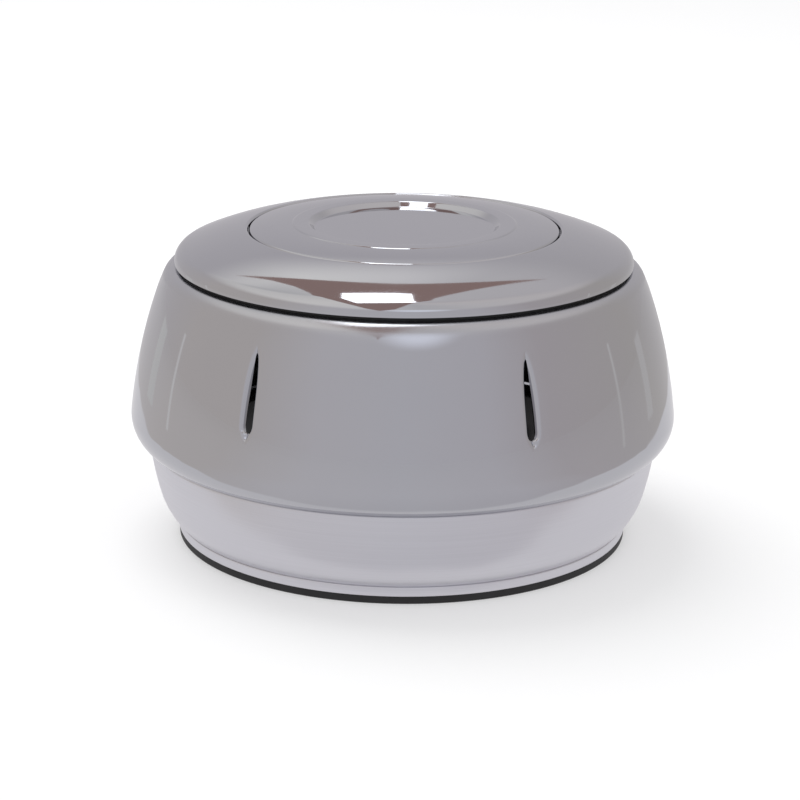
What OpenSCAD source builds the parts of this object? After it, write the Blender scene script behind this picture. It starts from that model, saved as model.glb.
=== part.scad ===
// Wheel hub cover with a lift-off lid
//
// A bright pressed-steel cover that closes the hub of a coach or motorhome wheel. The barrel and
// the lower skirt are two shells bolted together inside the waist. A black ring hung from the same
// bolts carries leaf springs that grip the hub. The lid is pushed into the neck of the barrel and is
// held there by spring fingers on a black carrier.
//
// Millimetres, +Z up. The origin is the middle of the face that the foot seal rests on.

/* [Overall] */

// Widest diameter of the barrel
cover_diameter = 260; // [216:1:312]
// Height of the black foot seal that shows below the bright foot band
seal_height = 3.2; // [2.4:0.1:4.5]
// Height of the bright foot band
band_height = 5.1; // [4:0.1:7]
// Height of the lower skirt, from the foot band to the waist joint
skirt_height = 38.2; // [32:0.2:46]
// Height of the barrel, from the waist joint to where the shoulder starts
barrel_height = 71.4; // [59:0.2:86]
// Thickness of the pressed steel sheet
sheet = 1.2; // [0.8:0.05:1.5]

/* [Barrel] */

// Radius of the turn at the widest part
turn_radius = 15.8; // [12:0.1:19]
// How far the turn runs under the widest part, in degrees
turn_under = 57; // [48:1:62]
// Lean of the side where it leaves the turn, in degrees
side_low = 6; // [4:0.5:8]
// Lean of the side where it meets the shoulder, in degrees
side_high = 19; // [16:0.5:22]
// Radius of the shoulder above the side
shoulder_radius = 95; // [76:1:114]
// Lean of the shoulder where it meets the rolled neck, in degrees
shoulder_high = 25; // [23:0.5:30]
// Outer radius of the rolled edge round the neck
neck_roll = 7; // [6:0.1:8.4]
// Depth of the straight neck wall below the roll
neck_depth = 12; // [9:0.5:14]

/* [Vents] */

// Number of teardrop vents round the barrel
vent_count = 6; // [4:1:8]
// Width of the pressed dimple round a vent
vent_width = 8.2; // [6.8:0.1:9.8]
// Depth of the pressed dimple
vent_depth = 2.5; // [2.1:0.1:3]
// Length of a vent's point, above its straight part
vent_up = 24.5; // [20:0.5:29]
// Length of a vent's straight part and round end
vent_down = 18.5; // [15:0.5:22]
// Height of the foot of a vent's point, as a share of the barrel's height
vent_level = 0.66; // [0.6:0.01:0.7]
// Width of the slot through the sheet
slot_width = 3.6; // [3:0.1:4.3]
// Turn of the vents about the axis, in degrees
vent_turn = -3; // [-180:1:180]

/* [Skirt] */

// Step in at the waist, from the edge of the barrel to the skirt
waist_step = 1.5; // [1:0.1:2]
// Radius of the skirt's lower curve
bowl_radius = 33; // [27:0.5:39]
// Lean of the skirt at the waist, in degrees
skirt_top = 7; // [5:0.5:9]
// Lean of the skirt where the lower curve starts, in degrees
skirt_mid = 16; // [14:0.5:18]
// Lean of the skirt where it meets the foot band, in degrees
skirt_low = 47; // [43:0.5:51]
// Width of the bolting flanges inside the waist
flange_width = 15; // [14:0.5:17]
// Thickness of the gasket between the flanges
gasket = 0.5; // [0.4:0.1:1]

/* [Lid] */

// Height of the dark gap between the neck and the lid
lid_gap = 1.6; // [1.3:0.1:2]
// Radius of the lid's outer edge
lid_edge = 7.2; // [6:0.1:8.6]
// Slope of the lid where the edge meets the dome, in degrees from upright
lid_turn = 67; // [64:0.5:71]
// Slope of the lid at the seam, in degrees from upright
lid_top = 79.5; // [77:0.5:82]
// Seam diameter as a share of the lid's diameter
seam_share = 0.68; // [0.62:0.01:0.72]
// Width of the seam between the lid ring and the centre plate
seam_gap = 0.7; // [0.5:0.1:1]
// Diameter of the raised step as a share of the seam diameter
step_share = 0.72; // [0.68:0.01:0.76]
// Height of the step
step_height = 0.4; // [0.3:0.1:0.6]
// Diameter of the round recess as a share of the seam diameter
recess_share = 0.62; // [0.55:0.001:0.66]
// Depth of the round recess
recess_depth = 2.3; // [1.9:0.1:2.8]
// Slope of the recess wall, in degrees
recess_slope = 40; // [35:1:48]
// Depth of the centre plate's turned-down rim
rim_depth = 5; // [4.4:0.1:6]
// Number of spring fingers that hold the lid in the neck
finger_count = 6; // [3:1:8]
// Width of a spring finger
finger_width = 16; // [12:0.5:19]

/* [Hub grip] */

// Diameter of the hub that the cover grips, as a share of the foot band's diameter
hub_share = 0.88; // [0.86:0.01:0.89]
// Number of leaf springs that grip the hub
spring_count = 6; // [4:1:8]
// Width of a leaf spring
spring_width = 18; // [14:0.5:21]
// Thickness of the spring steel
leaf = 0.8; // [0.6:0.05:1]
// Number of bolts through the waist flanges
bolt_count = 6; // [4:1:8]

/* [Hidden] */

$fn = 96;

// Finishes
chrome_tone = [0.78, 0.79, 0.81];
black_tone = [0.08, 0.08, 0.09];
rubber_tone = [0.05, 0.05, 0.05];
zinc_tone = [0.66, 0.67, 0.66];
spring_tone = [0.36, 0.38, 0.42];

// Strips of sheet run into each other by this much, and long ones sit this far inside short ones
lap = 1.2;
tuck = 0.005;

// Room left where one curved face sits against another
seat_fit = 0.1;
// Room round a piece that is pushed in, and the small break on a pressed edge
slide_fit = 0.3;
edge_break = 0.3;

// Rounds a size to a hundredth, so that faces that should meet do meet
function snap(x) = round(x * 100) / 100;

// The angle that a length takes up on an arc
function arc_angle(length, r) = length / r * 180 / PI;

// Unit vector at an angle from the outward direction, in the plane of a section
function dir(a) = [cos(a), sin(a)];

// Heights of the joints
band_low = seal_height;
band_top = band_low + band_height;
waist = band_top + skirt_height;
shell_low = waist + gasket;

// Section of the barrel, as a chain of tangent arcs from the waist to the neck
turn_mid = [cover_diameter / 2 - turn_radius, snap(shell_low + turn_radius * sin(turn_under))];
turn_end = turn_mid + turn_radius * dir(side_low);
side_radius = (shell_low + barrel_height - turn_end.y) / (sin(side_high) - sin(side_low));
side_mid = turn_end - side_radius * dir(side_low);
side_end = side_mid + side_radius * dir(side_high);
shoulder_mid = side_end - shoulder_radius * dir(side_high);
shoulder_end = shoulder_mid + shoulder_radius * dir(shoulder_high);
roll_spot = shoulder_end - neck_roll * dir(shoulder_high);
roll_mid = [snap(roll_spot.x), snap(roll_spot.y)];
neck_bore = roll_mid.x - neck_roll;
neck_top = roll_mid.y + neck_roll;
shell_foot = turn_mid + turn_radius * dir(-turn_under);

// Vents: the height of the foot of the point, and how far a slot ends short of its dimple
vent_base = shell_low + snap(vent_level * barrel_height);
slot_short = 3.5;
// Half widths of a slot at its straight part, at the foot of its point and half way up the point,
// as shares of the radius of its round end
slot_shares = [0.985, 0.86, 0.6];

// Section of the skirt
skirt_start = [shell_foot.x - waist_step, waist - sheet];
bowl_drop = bowl_radius * (sin(skirt_low) - sin(skirt_mid));
skirt_radius = (skirt_height - sheet - bowl_drop) / (sin(skirt_mid) - sin(skirt_top));
skirt_centre = skirt_start - skirt_radius * dir(-skirt_top);
bowl_start = skirt_centre + skirt_radius * dir(-skirt_mid);
bowl_centre = bowl_start - bowl_radius * dir(-skirt_mid);
skirt_end = bowl_centre + bowl_radius * dir(-skirt_low);
skirt_end_in = bowl_centre + (bowl_radius - sheet) * dir(-skirt_low);
skirt_end_lip = bowl_centre + (bowl_radius - 2 * sheet) * dir(-skirt_low);

// Foot band and seal. The band stands this far outside the end of the skirt.
band_proud = 0.4;
band_radius = snap(skirt_end.x + band_proud);
bead = 1.4;
bead_mid = [band_radius - bead, band_low + bead];
band_inner = band_radius - 2 * bead;
lip_radius = bowl_radius - sheet - seat_fit;
lip_turn = 9;
seal_leg = 1.4;
seal_inner = band_inner - seal_leg;

// Waist joint
flange_inner = skirt_start.x - flange_width;
bolt_edge = 6.3;
bolt_circle = flange_inner + bolt_edge;
bolt_radius = 2.5;
bolt_hole = 2.8;
nut_bore = 2.52;
washer_radius = 4.8;
washer_thick = 1;
nut_flats = 8;
nut_height = 4;
head_radius = 4.6;
head_height = 2.8;
thread_spare = 2.2;
ring_flange_top = waist - sheet;
washer_top = ring_flange_top - sheet;
nut_top = washer_top - washer_thick;
bolt_turn = vent_turn + 180 / vent_count;

// Hub ring and its springs
hub_radius = hub_share * band_radius;
leaf_room = 5;
ring_inner = hub_radius + leaf_room;
ring_outer = ring_inner + sheet;
ring_foot = band_top + 2;
ring_bend = 3;
ring_flange = skirt_start.x - 3.3;
leaf_seat = sqrt(pow(ring_inner - seat_fit, 2) - pow(spring_width / 2, 2));
leaf_top = washer_top - 2;
leaf_flat = 12;
leaf_apex = 10;
leaf_foot = ring_foot + 1;
rivet_radius = 1.5;
rivet_head = 2.6;
rivet_thick = 1;

// Lid, from its lower edge to the seam
lid_low = neck_top + lid_gap;
lid_over = 1.3;
lid_radius = roll_mid.x + lid_over;
edge_mid = [lid_radius - lid_edge, lid_low + edge_break];
edge_end = edge_mid + lid_edge * dir(lid_turn);
seam_radius = snap(seam_share * lid_radius);
lip_mid_x = seam_radius + sheet;
dome_radius = (edge_end.x - lip_mid_x - sheet * cos(lid_top)) / (cos(lid_turn) - cos(lid_top));
dome_mid = edge_end - dome_radius * dir(lid_turn);
dome_end = dome_mid + dome_radius * dir(lid_top);
lip_mid = [lip_mid_x, snap(dome_end.y - sheet * sin(lid_top))];
hem_width = 3.6;
hem_inner = lid_radius - hem_width;

// Centre plate, set in the seam
plate_radius = seam_radius - seam_gap;
plate_corner = [plate_radius - sheet, lip_mid.y];
plate_start = plate_corner + sheet * dir(lid_top);
plate_top_lean = 88;
step_radius = step_share * seam_radius;
plate_dome = (plate_start.x - step_radius) / (cos(lid_top) - cos(plate_top_lean));
plate_mid = plate_start - plate_dome * dir(lid_top);
plate_end = plate_mid + plate_dome * dir(plate_top_lean);
land = snap(plate_end.y + step_height);
recess_radius = snap(recess_share * seam_radius);
recess_roll = 1.5;
recess_fillet = 1;
recess_floor = land - recess_depth;
recess_roll_at = [recess_radius, land - recess_roll];
recess_wall_top = recess_roll_at + recess_roll * dir(90 + recess_slope);
recess_wall_drop = recess_depth - (recess_roll + recess_fillet) * (1 - cos(recess_slope));
recess_wall_foot = recess_wall_top - recess_wall_drop / sin(recess_slope) * dir(recess_slope);
recess_fillet_at = recess_wall_foot - recess_fillet * dir(recess_slope - 90);
plate_rim_low = lip_mid.y - rim_depth;

// Shelf under the centre plate, and the carrier below it
plate_gasket_height = 0.8;
plate_gasket_width = 2.5;
shelf_top = plate_rim_low - plate_gasket_height;
shelf_low = shelf_top - sheet;
shelf_inner = step_radius + 5;
web_inner = seam_radius - 1;
carrier_flange_low = shelf_low - sheet;
stud_circle = (shelf_inner + seam_radius) / 2;
stud_count = 4;
stud_radius = 2;
stud_hole = 2.3;
stud_spare = 3.4;
stud_low = carrier_flange_low - stud_spare;
stud_pad_radius = 3.4;
stud_pad = 1;
stud_top = plate_mid.y + sqrt(pow(plate_dome, 2) - pow(stud_circle - plate_mid.x, 2));
push_nut_radius = 5.6;
push_nut_plate = 0.7;
push_nut_hub = 1.2;
push_nut_hub_radius = 3.2;
rim_low = lid_low + sheet;
rim_reach = sqrt(pow(lid_edge - sheet, 2) - pow(rim_low + sheet - edge_mid.y, 2));
rim_outer = edge_mid.x + rim_reach - slide_fit;
finger_out = sqrt(pow(neck_bore - slide_fit, 2) - pow(finger_width / 2, 2));
finger_bulge = 1.8;
cup_outer = finger_out - finger_bulge - leaf;
cup_inner = cup_outer - sheet;
cup_rivet_seat = sqrt(pow(cup_inner, 2) - pow(rivet_head, 2)) - tuck;
finger_top = rim_low - 1.2;
finger_apex = neck_top - 11;
finger_low = neck_top - 16;
finger_flat = finger_top - 9;
cup_low = finger_low - 1;

// Neck seal, glued on the crown of the rolled neck. The lid stands just clear of it.
neck_seal_top = lid_low - 0.2;
neck_seal_inner = neck_bore + 1;
neck_seal_outer = roll_mid.x - 0.8;

// The part of a disc between two angles, no more than 180 degrees apart
module sector(r, a0, a1) {
    reach = 1.2 * r;
    steps = max(1, ceil((a1 - a0) / 60));
    points = [for (i = [0 : steps]) reach * dir(a0 + (a1 - a0) * i / steps)];
    intersection() {
        circle(r = r, $fn = 200);
        polygon(concat([[0, 0]], points));
    }
}

// A bent strip of sheet: its outer face has radius r about the centre c. A lap lengthens an end, in
// millimetres, so that it runs into the next strip. A tuck sets a long strip inside its neighbours.
module arc_band(c, r, t, a0, a1, lap0 = 0, lap1 = 0, tucked = false) {
    outer = r - (tucked ? tuck : 0);
    translate(c)
        difference() {
            sector(outer, a0 - arc_angle(lap0, r), a1 + arc_angle(lap1, r));
            if (t < r) circle(r = outer - t, $fn = 200);
        }
}

// A straight strip between two inner and two outer radii and heights
module strip(r0, r1, z0, z1) {
    translate([r0, z0]) square([r1 - r0, z1 - z0]);
}

// Repeats its children round the axis
module around(count, turn = 0) {
    for (i = [0 : count - 1])
        rotate([0, 0, turn + i * 360 / count]) children();
}

// One half of a spindle that stands on z = 0: the radius falls from width to nothing on an arc
module half_spindle(width, bend) {
    length = sqrt(2 * bend * width - width * width);
    rotate_extrude()
        intersection() {
            translate([width - bend, 0]) circle(r = bend, $fn = 200);
            square([width, length + 1]);
        }
}

// The shape that presses one vent into the side: a long point, a straight part and a ball end. It
// leans with the side and lies just outside it.
module vent_tool(extra) {
    axis_out = (pow(vent_width / 2, 2) - pow(vent_depth, 2)) / (2 * vent_depth);
    width = axis_out + vent_depth + extra;
    bend_up = 1 / (2 * vent_depth / pow(vent_up, 2) - 1 / side_radius);
    straight = vent_down - vent_width / 2;
    lean = asin((vent_base - side_mid.y) / side_radius);
    spot = side_mid + (side_radius + axis_out) * dir(lean);
    translate([spot.x, 0, spot.y])
        rotate([0, -lean, 0]) {
            half_spindle(width, bend_up);
            mirror([0, 0, 1]) {
                cylinder(r = width, h = straight);
                translate([0, 0, straight]) half_spindle(width, width);
            }
        }
}

// The slot through the bottom of a dimple: a bellied point, straight sides and a round end
module slot_outline() {
    half = slot_width / 2;
    foot = slot_short + half - vent_down;
    tip = vent_up - slot_short;
    edge = [[slot_shares[0] * half, foot], [slot_shares[0] * half, foot / 2],
            [slot_shares[1] * half, 0], [slot_shares[2] * half, tip / 2]];
    translate([0, foot]) circle(r = half);
    polygon(concat(edge, [[0, tip]], [for (i = [3:-1:0]) [-edge[i].x, edge[i].y]]));
}

module vent_slot() {
    translate([side_end.x - 12, 0, vent_base])
        rotate([90, 0, 90])
            linear_extrude(height = 40) slot_outline();
}

// Section of the barrel. The sheet turns in under the widest part and ends in a flat flange.
module barrel_section() {
    flange_outer = turn_mid.x + 0.05
        + sqrt(pow(turn_radius - sheet, 2) - pow(turn_mid.y - shell_low - sheet, 2));
    difference() {
        arc_band(turn_mid, turn_radius, sheet, -turn_under, side_low, 3, lap);
        translate([0, shell_low - 50]) square([cover_diameter, 50]);
    }
    arc_band(side_mid, side_radius, sheet, side_low, side_high, 0.3, 0.3, true);
    arc_band(shoulder_mid, shoulder_radius, sheet, side_high, shoulder_high, 3, 0.2, true);
    arc_band(roll_mid, neck_roll, sheet, shoulder_high, 180, lap, 0);
    strip(neck_bore, neck_bore + sheet, roll_mid.y - neck_depth, roll_mid.y);
    strip(flange_inner, flange_outer, shell_low, shell_low + sheet);
}

// Bright barrel: turn, side, shoulder and rolled neck, with the flange that the skirt bolts to
module barrel_shell() {
    side_zone_low = 8;
    color(chrome_tone)
        difference() {
            union() {
                rotate_extrude() barrel_section();
                intersection() {
                    rotate_extrude()
                        arc_band(side_mid, side_radius - 0.3, 5, side_zone_low, side_high - 1);
                    around(vent_count, vent_turn) vent_tool(sheet * 0.8);
                }
            }
            around(vent_count, vent_turn) {
                vent_tool(0);
                vent_slot();
            }
            around(bolt_count, bolt_turn)
                translate([bolt_circle, 0, shell_low - 1]) cylinder(r = bolt_hole, h = sheet + 2);
        }
}

// Bright lower skirt
module lower_skirt() {
    color(chrome_tone)
        difference() {
            rotate_extrude() {
                difference() {
                    arc_band(skirt_centre, skirt_radius, sheet, -skirt_mid, -skirt_top, 0.2, 4, true);
                    translate([0, waist]) square([cover_diameter, 50]);
                }
                arc_band(bowl_centre, bowl_radius, sheet, -skirt_low, -skirt_mid, 0, lap);
                strip(flange_inner, skirt_start.x - 0.4, waist - sheet, waist);
            }
            around(bolt_count, bolt_turn)
                translate([bolt_circle, 0, waist - sheet - 1]) cylinder(r = bolt_hole, h = sheet + 2);
        }
}

// Bright foot band with a full bead at the bottom and a lip behind the skirt
module base_band() {
    color(chrome_tone)
        rotate_extrude() {
            arc_band(bowl_centre, lip_radius, sheet, -skirt_low, -skirt_low + lip_turn, 0.3, 0);
            polygon([[band_radius, bead_mid.y],
                     [band_radius, band_top - edge_break],
                     [band_radius - edge_break, band_top],
                     skirt_end,
                     skirt_end_in,
                     skirt_end_lip,
                     [band_inner, band_top + 0.4],
                     [band_inner, bead_mid.y]]);
            arc_band(bead_mid, bead, bead, 180, 360);
        }
}

// Black rubber seal pressed on the bead
module foot_seal() {
    corner = 0.8;
    outer = band_radius - edge_break;
    color(rubber_tone)
        rotate_extrude()
            difference() {
                polygon([[seal_inner + corner, 0],
                         [outer - corner, 0],
                         [outer, corner],
                         [outer, bead_mid.y],
                         [band_inner, bead_mid.y],
                         [band_inner, band_top - 0.4],
                         [seal_inner, band_top - 0.8],
                         [seal_inner, corner]]);
                translate(bead_mid) circle(r = bead + seat_fit, $fn = 200);
            }
}

module joint_gasket() {
    color(rubber_tone)
        difference() {
            rotate_extrude() strip(flange_inner + 1, skirt_start.x - 1.5, waist, shell_low);
            around(bolt_count, bolt_turn)
                translate([bolt_circle, 0, waist - 1]) cylinder(r = bolt_hole, h = gasket + 2);
        }
}

// Button-head screws, put in from above
module joint_screws() {
    low = nut_top - nut_height - thread_spare;
    seat = shell_low + sheet;
    color(zinc_tone)
        around(bolt_count, bolt_turn)
            translate([bolt_circle, 0, 0])
                difference() {
                    union() {
                        translate([0, 0, low]) cylinder(r = bolt_radius, h = seat - low + 0.5);
                        translate([0, 0, seat])
                            rotate_extrude()
                                polygon([[0, 0],
                                         [head_radius, 0],
                                         [head_radius, 0.6 * head_height],
                                         [0.6 * head_radius, head_height],
                                         [0, head_height]]);
                    }
                    translate([0, 0, seat + head_height - 1.6]) cylinder(r = 1.7, h = 3, $fn = 6);
                }
}

module joint_washers() {
    color(zinc_tone)
        around(bolt_count, bolt_turn)
            translate([bolt_circle, 0, nut_top])
                difference() {
                    cylinder(r = washer_radius, h = washer_thick);
                    translate([0, 0, -1]) cylinder(r = bolt_hole, h = washer_thick + 2);
                }
}

module joint_nuts() {
    color(zinc_tone)
        around(bolt_count, bolt_turn)
            translate([bolt_circle, 0, nut_top - nut_height])
                difference() {
                    rotate([0, 0, 30]) cylinder(r = nut_flats / sqrt(3), h = nut_height, $fn = 6);
                    translate([0, 0, -1]) cylinder(r = nut_bore, h = nut_height + 2);
                }
}

// Places a rivet or its hole on the axis, pointing outwards
module rivet_spots(count, turn, heights) {
    around(count, turn)
        for (z = heights)
            translate([0, 0, z]) rotate([0, 90, 0]) children();
}

spring_rivets = [leaf_top - leaf_flat * 0.28, leaf_top - leaf_flat * 0.78];
finger_rivet_levels = [finger_top - 2.2 - rivet_head / 2];

// Black ring that hangs from the waist bolts and carries the leaf springs
module hub_ring() {
    color(black_tone)
        difference() {
            rotate_extrude() {
                strip(ring_inner + ring_bend, ring_flange, ring_flange_top - sheet, ring_flange_top);
                strip(ring_inner, ring_outer, ring_foot, ring_flange_top - ring_bend);
                translate([ring_inner + ring_bend, ring_flange_top - ring_bend])
                    difference() {
                        sector(ring_bend, 90, 180);
                        circle(r = ring_bend - sheet, $fn = 100);
                    }
            }
            around(bolt_count, bolt_turn)
                translate([bolt_circle, 0, ring_flange_top - sheet - 1])
                    cylinder(r = bolt_hole, h = sheet + 2);
            rivet_spots(spring_count, vent_turn, spring_rivets)
                translate([0, 0, ring_inner - 3]) cylinder(r = rivet_radius, h = 6);
        }
}

// A leaf as a band of constant thickness through a list of points, cut to a width
module leaf_strip(points, width, thick) {
    back = [for (i = [len(points) - 1 : -1 : 0]) points[i] - [thick, 0]];
    translate([0, width / 2, 0])
        rotate([90, 0, 0])
            linear_extrude(height = width) polygon(concat(points, back));
}

// Leaf springs: flat where they are riveted, then bowed in to the hub
module grip_springs() {
    bow_top = leaf_top - leaf_flat;
    apex_height = leaf_foot + leaf_apex;
    bow = leaf_seat - leaf - hub_radius;
    steps = 12;
    upper = [for (i = [0 : steps])
        [leaf_seat - bow * (1 - cos(180 * i / steps)) / 2,
         bow_top + (apex_height - bow_top) * i / steps]];
    lower = [for (i = [1 : steps])
        [leaf_seat - bow + 0.7 * bow * (1 - cos(150 * i / steps)) / 2,
         apex_height - (apex_height - leaf_foot) * i / steps]];
    color(spring_tone)
        difference() {
            around(spring_count, vent_turn)
                leaf_strip(concat([[leaf_seat, leaf_top]], upper, lower), spring_width, leaf);
            rivet_spots(spring_count, vent_turn, spring_rivets)
                translate([0, 0, ring_inner - 3]) cylinder(r = rivet_radius, h = 6);
        }
}

// A rivet with a flat head at each end of its grip
module rivet(from, grip) {
    translate([0, 0, from - rivet_thick]) {
        cylinder(r = rivet_radius, h = grip + 2 * rivet_thick);
        cylinder(r = rivet_head, h = rivet_thick);
        translate([0, 0, grip + rivet_thick]) cylinder(r = rivet_head, h = rivet_thick);
    }
}

module grip_rivets() {
    color(zinc_tone)
        rivet_spots(spring_count, vent_turn, spring_rivets)
            rivet(leaf_seat - leaf, ring_outer - leaf_seat + leaf);
}

// Black rubber ring glued on the rolled neck, which closes the gap under the lid
module neck_seal() {
    color(rubber_tone)
        rotate_extrude()
            difference() {
                strip(neck_seal_inner, neck_seal_outer, roll_mid.y, neck_seal_top);
                translate(roll_mid) circle(r = neck_roll + seat_fit, $fn = 200);
            }
}

// Bright outer ring of the lid, hemmed at the edge, with a shelf for the centre plate
module lid_ring() {
    color(chrome_tone)
        difference() {
            rotate_extrude() {
                difference() {
                    arc_band(edge_mid, lid_edge, sheet, 0, lid_turn, 2, lap);
                    translate([0, lid_low - 50]) square([cover_diameter, 50]);
                }
                arc_band(dome_mid, dome_radius, sheet, lid_turn, lid_top, 0.3, 0.1, true);
                arc_band(lip_mid, sheet, sheet, lid_top, 180, 0.8, 0);
                strip(seam_radius, seam_radius + sheet, shelf_low, lip_mid.y);
                strip(shelf_inner, seam_radius + 0.1, shelf_low, shelf_top);
                strip(hem_inner, lid_radius - 0.5, lid_low, lid_low + sheet);
            }
            around(stud_count, 45)
                translate([stud_circle, 0, shelf_low - 1]) cylinder(r = stud_hole, h = sheet + 2);
        }
}

// Bright centre plate with a fine step and a round recess
module centre_plate() {
    into = dir(recess_slope - 90);
    wall_lap = 0.1 * dir(recess_slope);
    color(chrome_tone)
        rotate_extrude() {
            strip(plate_radius - sheet, plate_radius, plate_rim_low, plate_corner.y);
            arc_band(plate_corner, sheet, sheet, 0, lid_top, 0, 0.8);
            arc_band(plate_mid, plate_dome, sheet, lid_top, plate_top_lean, 0.1, 0, true);
            polygon([[plate_end.x + 0.4, plate_end.y - 0.8],
                     [plate_end.x + 0.4, plate_end.y - 0.2],
                     [plate_end.x - 0.02, plate_end.y - 0.2],
                     [plate_end.x - 0.02, land - 0.1],
                     [plate_end.x - 0.12, land],
                     [recess_radius, land],
                     [recess_radius, land - sheet],
                     [plate_end.x - 0.4, plate_end.y - 0.8]]);
            arc_band(recess_roll_at, recess_roll, sheet, 90, 90 + recess_slope);
            polygon([recess_wall_top + wall_lap + tuck * into,
                     recess_wall_foot - wall_lap + tuck * into,
                     recess_wall_foot - wall_lap + (sheet - tuck) * into,
                     recess_wall_top + wall_lap + (sheet - tuck) * into]);
            arc_band(recess_fillet_at, recess_fillet + sheet, sheet, -90, recess_slope - 90);
            strip(0, recess_fillet_at.x + 0.1, recess_floor - sheet + tuck, recess_floor - tuck);
        }
}

// Studs welded under the centre plate, each with a pad that follows the dome
module plate_studs() {
    color(zinc_tone)
        intersection() {
            around(stud_count, 45)
                translate([stud_circle, 0, stud_low]) {
                    cylinder(r = stud_radius, h = stud_top - stud_low);
                    translate([0, 0, stud_top - sheet - stud_pad - stud_low])
                        cylinder(r = stud_pad_radius, h = 2 * sheet);
                }
            rotate_extrude()
                intersection() {
                    translate(plate_mid) circle(r = plate_dome - sheet - seat_fit, $fn = 200);
                    translate([0, stud_low - 1]) square([plate_radius, stud_top - stud_low + 5]);
                }
        }
}

module plate_gasket() {
    color(rubber_tone)
        rotate_extrude()
            strip(plate_radius - plate_gasket_width, plate_radius, shelf_top, plate_rim_low);
}

// Black carrier under the lid: rim, finger cup, sloping web and the flange under the shelf
module lid_carrier() {
    color(black_tone)
        difference() {
            rotate_extrude() {
                strip(cup_inner, rim_outer, rim_low, rim_low + sheet);
                strip(cup_inner, cup_outer, cup_low, rim_low + 0.1);
                polygon([[cup_inner, rim_low],
                         [cup_outer, rim_low + sheet],
                         [web_inner, shelf_low],
                         [shelf_inner, shelf_low],
                         [shelf_inner, carrier_flange_low],
                         [web_inner, carrier_flange_low]]);
            }
            around(stud_count, 45)
                translate([stud_circle, 0, carrier_flange_low - 1])
                    cylinder(r = stud_hole, h = sheet + 2);
            rivet_spots(finger_count, 0, finger_rivet_levels)
                translate([0, 0, cup_inner - 3]) cylinder(r = rivet_radius, h = 6);
        }
}

// Push-on nuts that clamp the plate, the ring and the carrier together
module stud_nuts() {
    color(spring_tone)
        around(stud_count, 45)
            translate([stud_circle, 0, carrier_flange_low - push_nut_plate])
                difference() {
                    union() {
                        cylinder(r = push_nut_radius, h = push_nut_plate);
                        translate([0, 0, -push_nut_hub])
                            cylinder(r = push_nut_hub_radius, h = push_nut_hub + 0.1);
                    }
                    translate([0, 0, -push_nut_hub - 1])
                        cylinder(r = stud_radius + 0.02, h = push_nut_plate + push_nut_hub + 2);
                }
}

// Spring fingers: riveted to the cup, bulging out to the neck wall
module lid_fingers() {
    steps = 10;
    upper = [for (i = [0 : steps])
        [cup_outer + leaf + finger_bulge * (1 - cos(180 * i / steps)) / 2,
         finger_flat + (finger_apex - finger_flat) * i / steps]];
    lower = [for (i = [1 : steps])
        [finger_out - 0.8 * finger_bulge * (1 - cos(150 * i / steps)) / 2,
         finger_apex - (finger_apex - finger_low) * i / steps]];
    color(spring_tone)
        difference() {
            around(finger_count)
                leaf_strip(concat([[cup_outer + leaf, finger_top]], upper, lower), finger_width, leaf);
            rivet_spots(finger_count, 0, finger_rivet_levels)
                translate([0, 0, cup_inner - 3]) cylinder(r = rivet_radius, h = 6);
        }
}

module finger_rivets() {
    color(zinc_tone)
        rivet_spots(finger_count, 0, finger_rivet_levels)
            rivet(cup_rivet_seat, cup_outer + leaf - cup_rivet_seat);
}

barrel_shell();
lower_skirt();
base_band();
foot_seal();
joint_gasket();
joint_screws();
joint_washers();
joint_nuts();
hub_ring();
grip_springs();
grip_rivets();
neck_seal();
lid_ring();
centre_plate();
plate_studs();
plate_gasket();
lid_carrier();
stud_nuts();
lid_fingers();
finger_rivets();
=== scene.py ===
"""Looks of a wheel hub cover: a mirror-bright barrel and lid over a satin skirt, with black seals and a
black carrier.

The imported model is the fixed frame. Every size is in metres, in its frame: +Z is up and the cover's axis is
the Z axis. A section is a list of (radius, height) points that runs anticlockwise, so the metal is on its
left and faces point out.
"""

import math

import bpy
import numpy as np
from bpy.props import FloatProperty, FloatVectorProperty, IntProperty, PointerProperty
from mathutils import Matrix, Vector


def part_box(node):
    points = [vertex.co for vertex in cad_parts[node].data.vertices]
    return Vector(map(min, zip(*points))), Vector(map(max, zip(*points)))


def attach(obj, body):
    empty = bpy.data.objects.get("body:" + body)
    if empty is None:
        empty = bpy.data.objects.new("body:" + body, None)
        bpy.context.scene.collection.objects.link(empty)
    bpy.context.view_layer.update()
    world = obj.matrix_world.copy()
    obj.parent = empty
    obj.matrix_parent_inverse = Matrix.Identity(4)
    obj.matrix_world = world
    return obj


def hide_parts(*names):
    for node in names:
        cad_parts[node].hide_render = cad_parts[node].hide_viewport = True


bl_info = {
    "name": "Wheel hub cover",
    "version": (1, 0, 0),
    "blender": (4, 5, 0),
    "location": "3D View > Sidebar > Hub cover",
    "description": "Builds the pieces, finishes and studio of a wheel hub cover",
    "category": "Object",
}

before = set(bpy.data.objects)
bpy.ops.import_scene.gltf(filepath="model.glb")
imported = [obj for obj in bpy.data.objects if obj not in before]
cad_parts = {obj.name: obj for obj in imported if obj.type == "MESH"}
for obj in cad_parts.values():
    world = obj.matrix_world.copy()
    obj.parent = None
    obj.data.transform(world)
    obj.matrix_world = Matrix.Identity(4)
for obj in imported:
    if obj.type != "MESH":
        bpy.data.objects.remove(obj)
bpy.context.view_layer.update()

FULL = 2 * math.pi
QUARTER = math.pi / 2
FLARE = 2.618  # part of a cosine that carries the foot of a leaf back, 150 degrees
SIDES = 240  # points round the axis of a turned piece
LEAVES = 6  # leaf springs on the hub ring, and fingers on the lid
CREASE = math.radians(32)  # edges sharper than this show as edges
GAP = 0.0001  # left between two pieces that lie on each other
BREAK = 0.0003  # rounding of a sheared sheet's edges
HAIR = 1e-5  # narrower than this, a slot is closed


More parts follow.
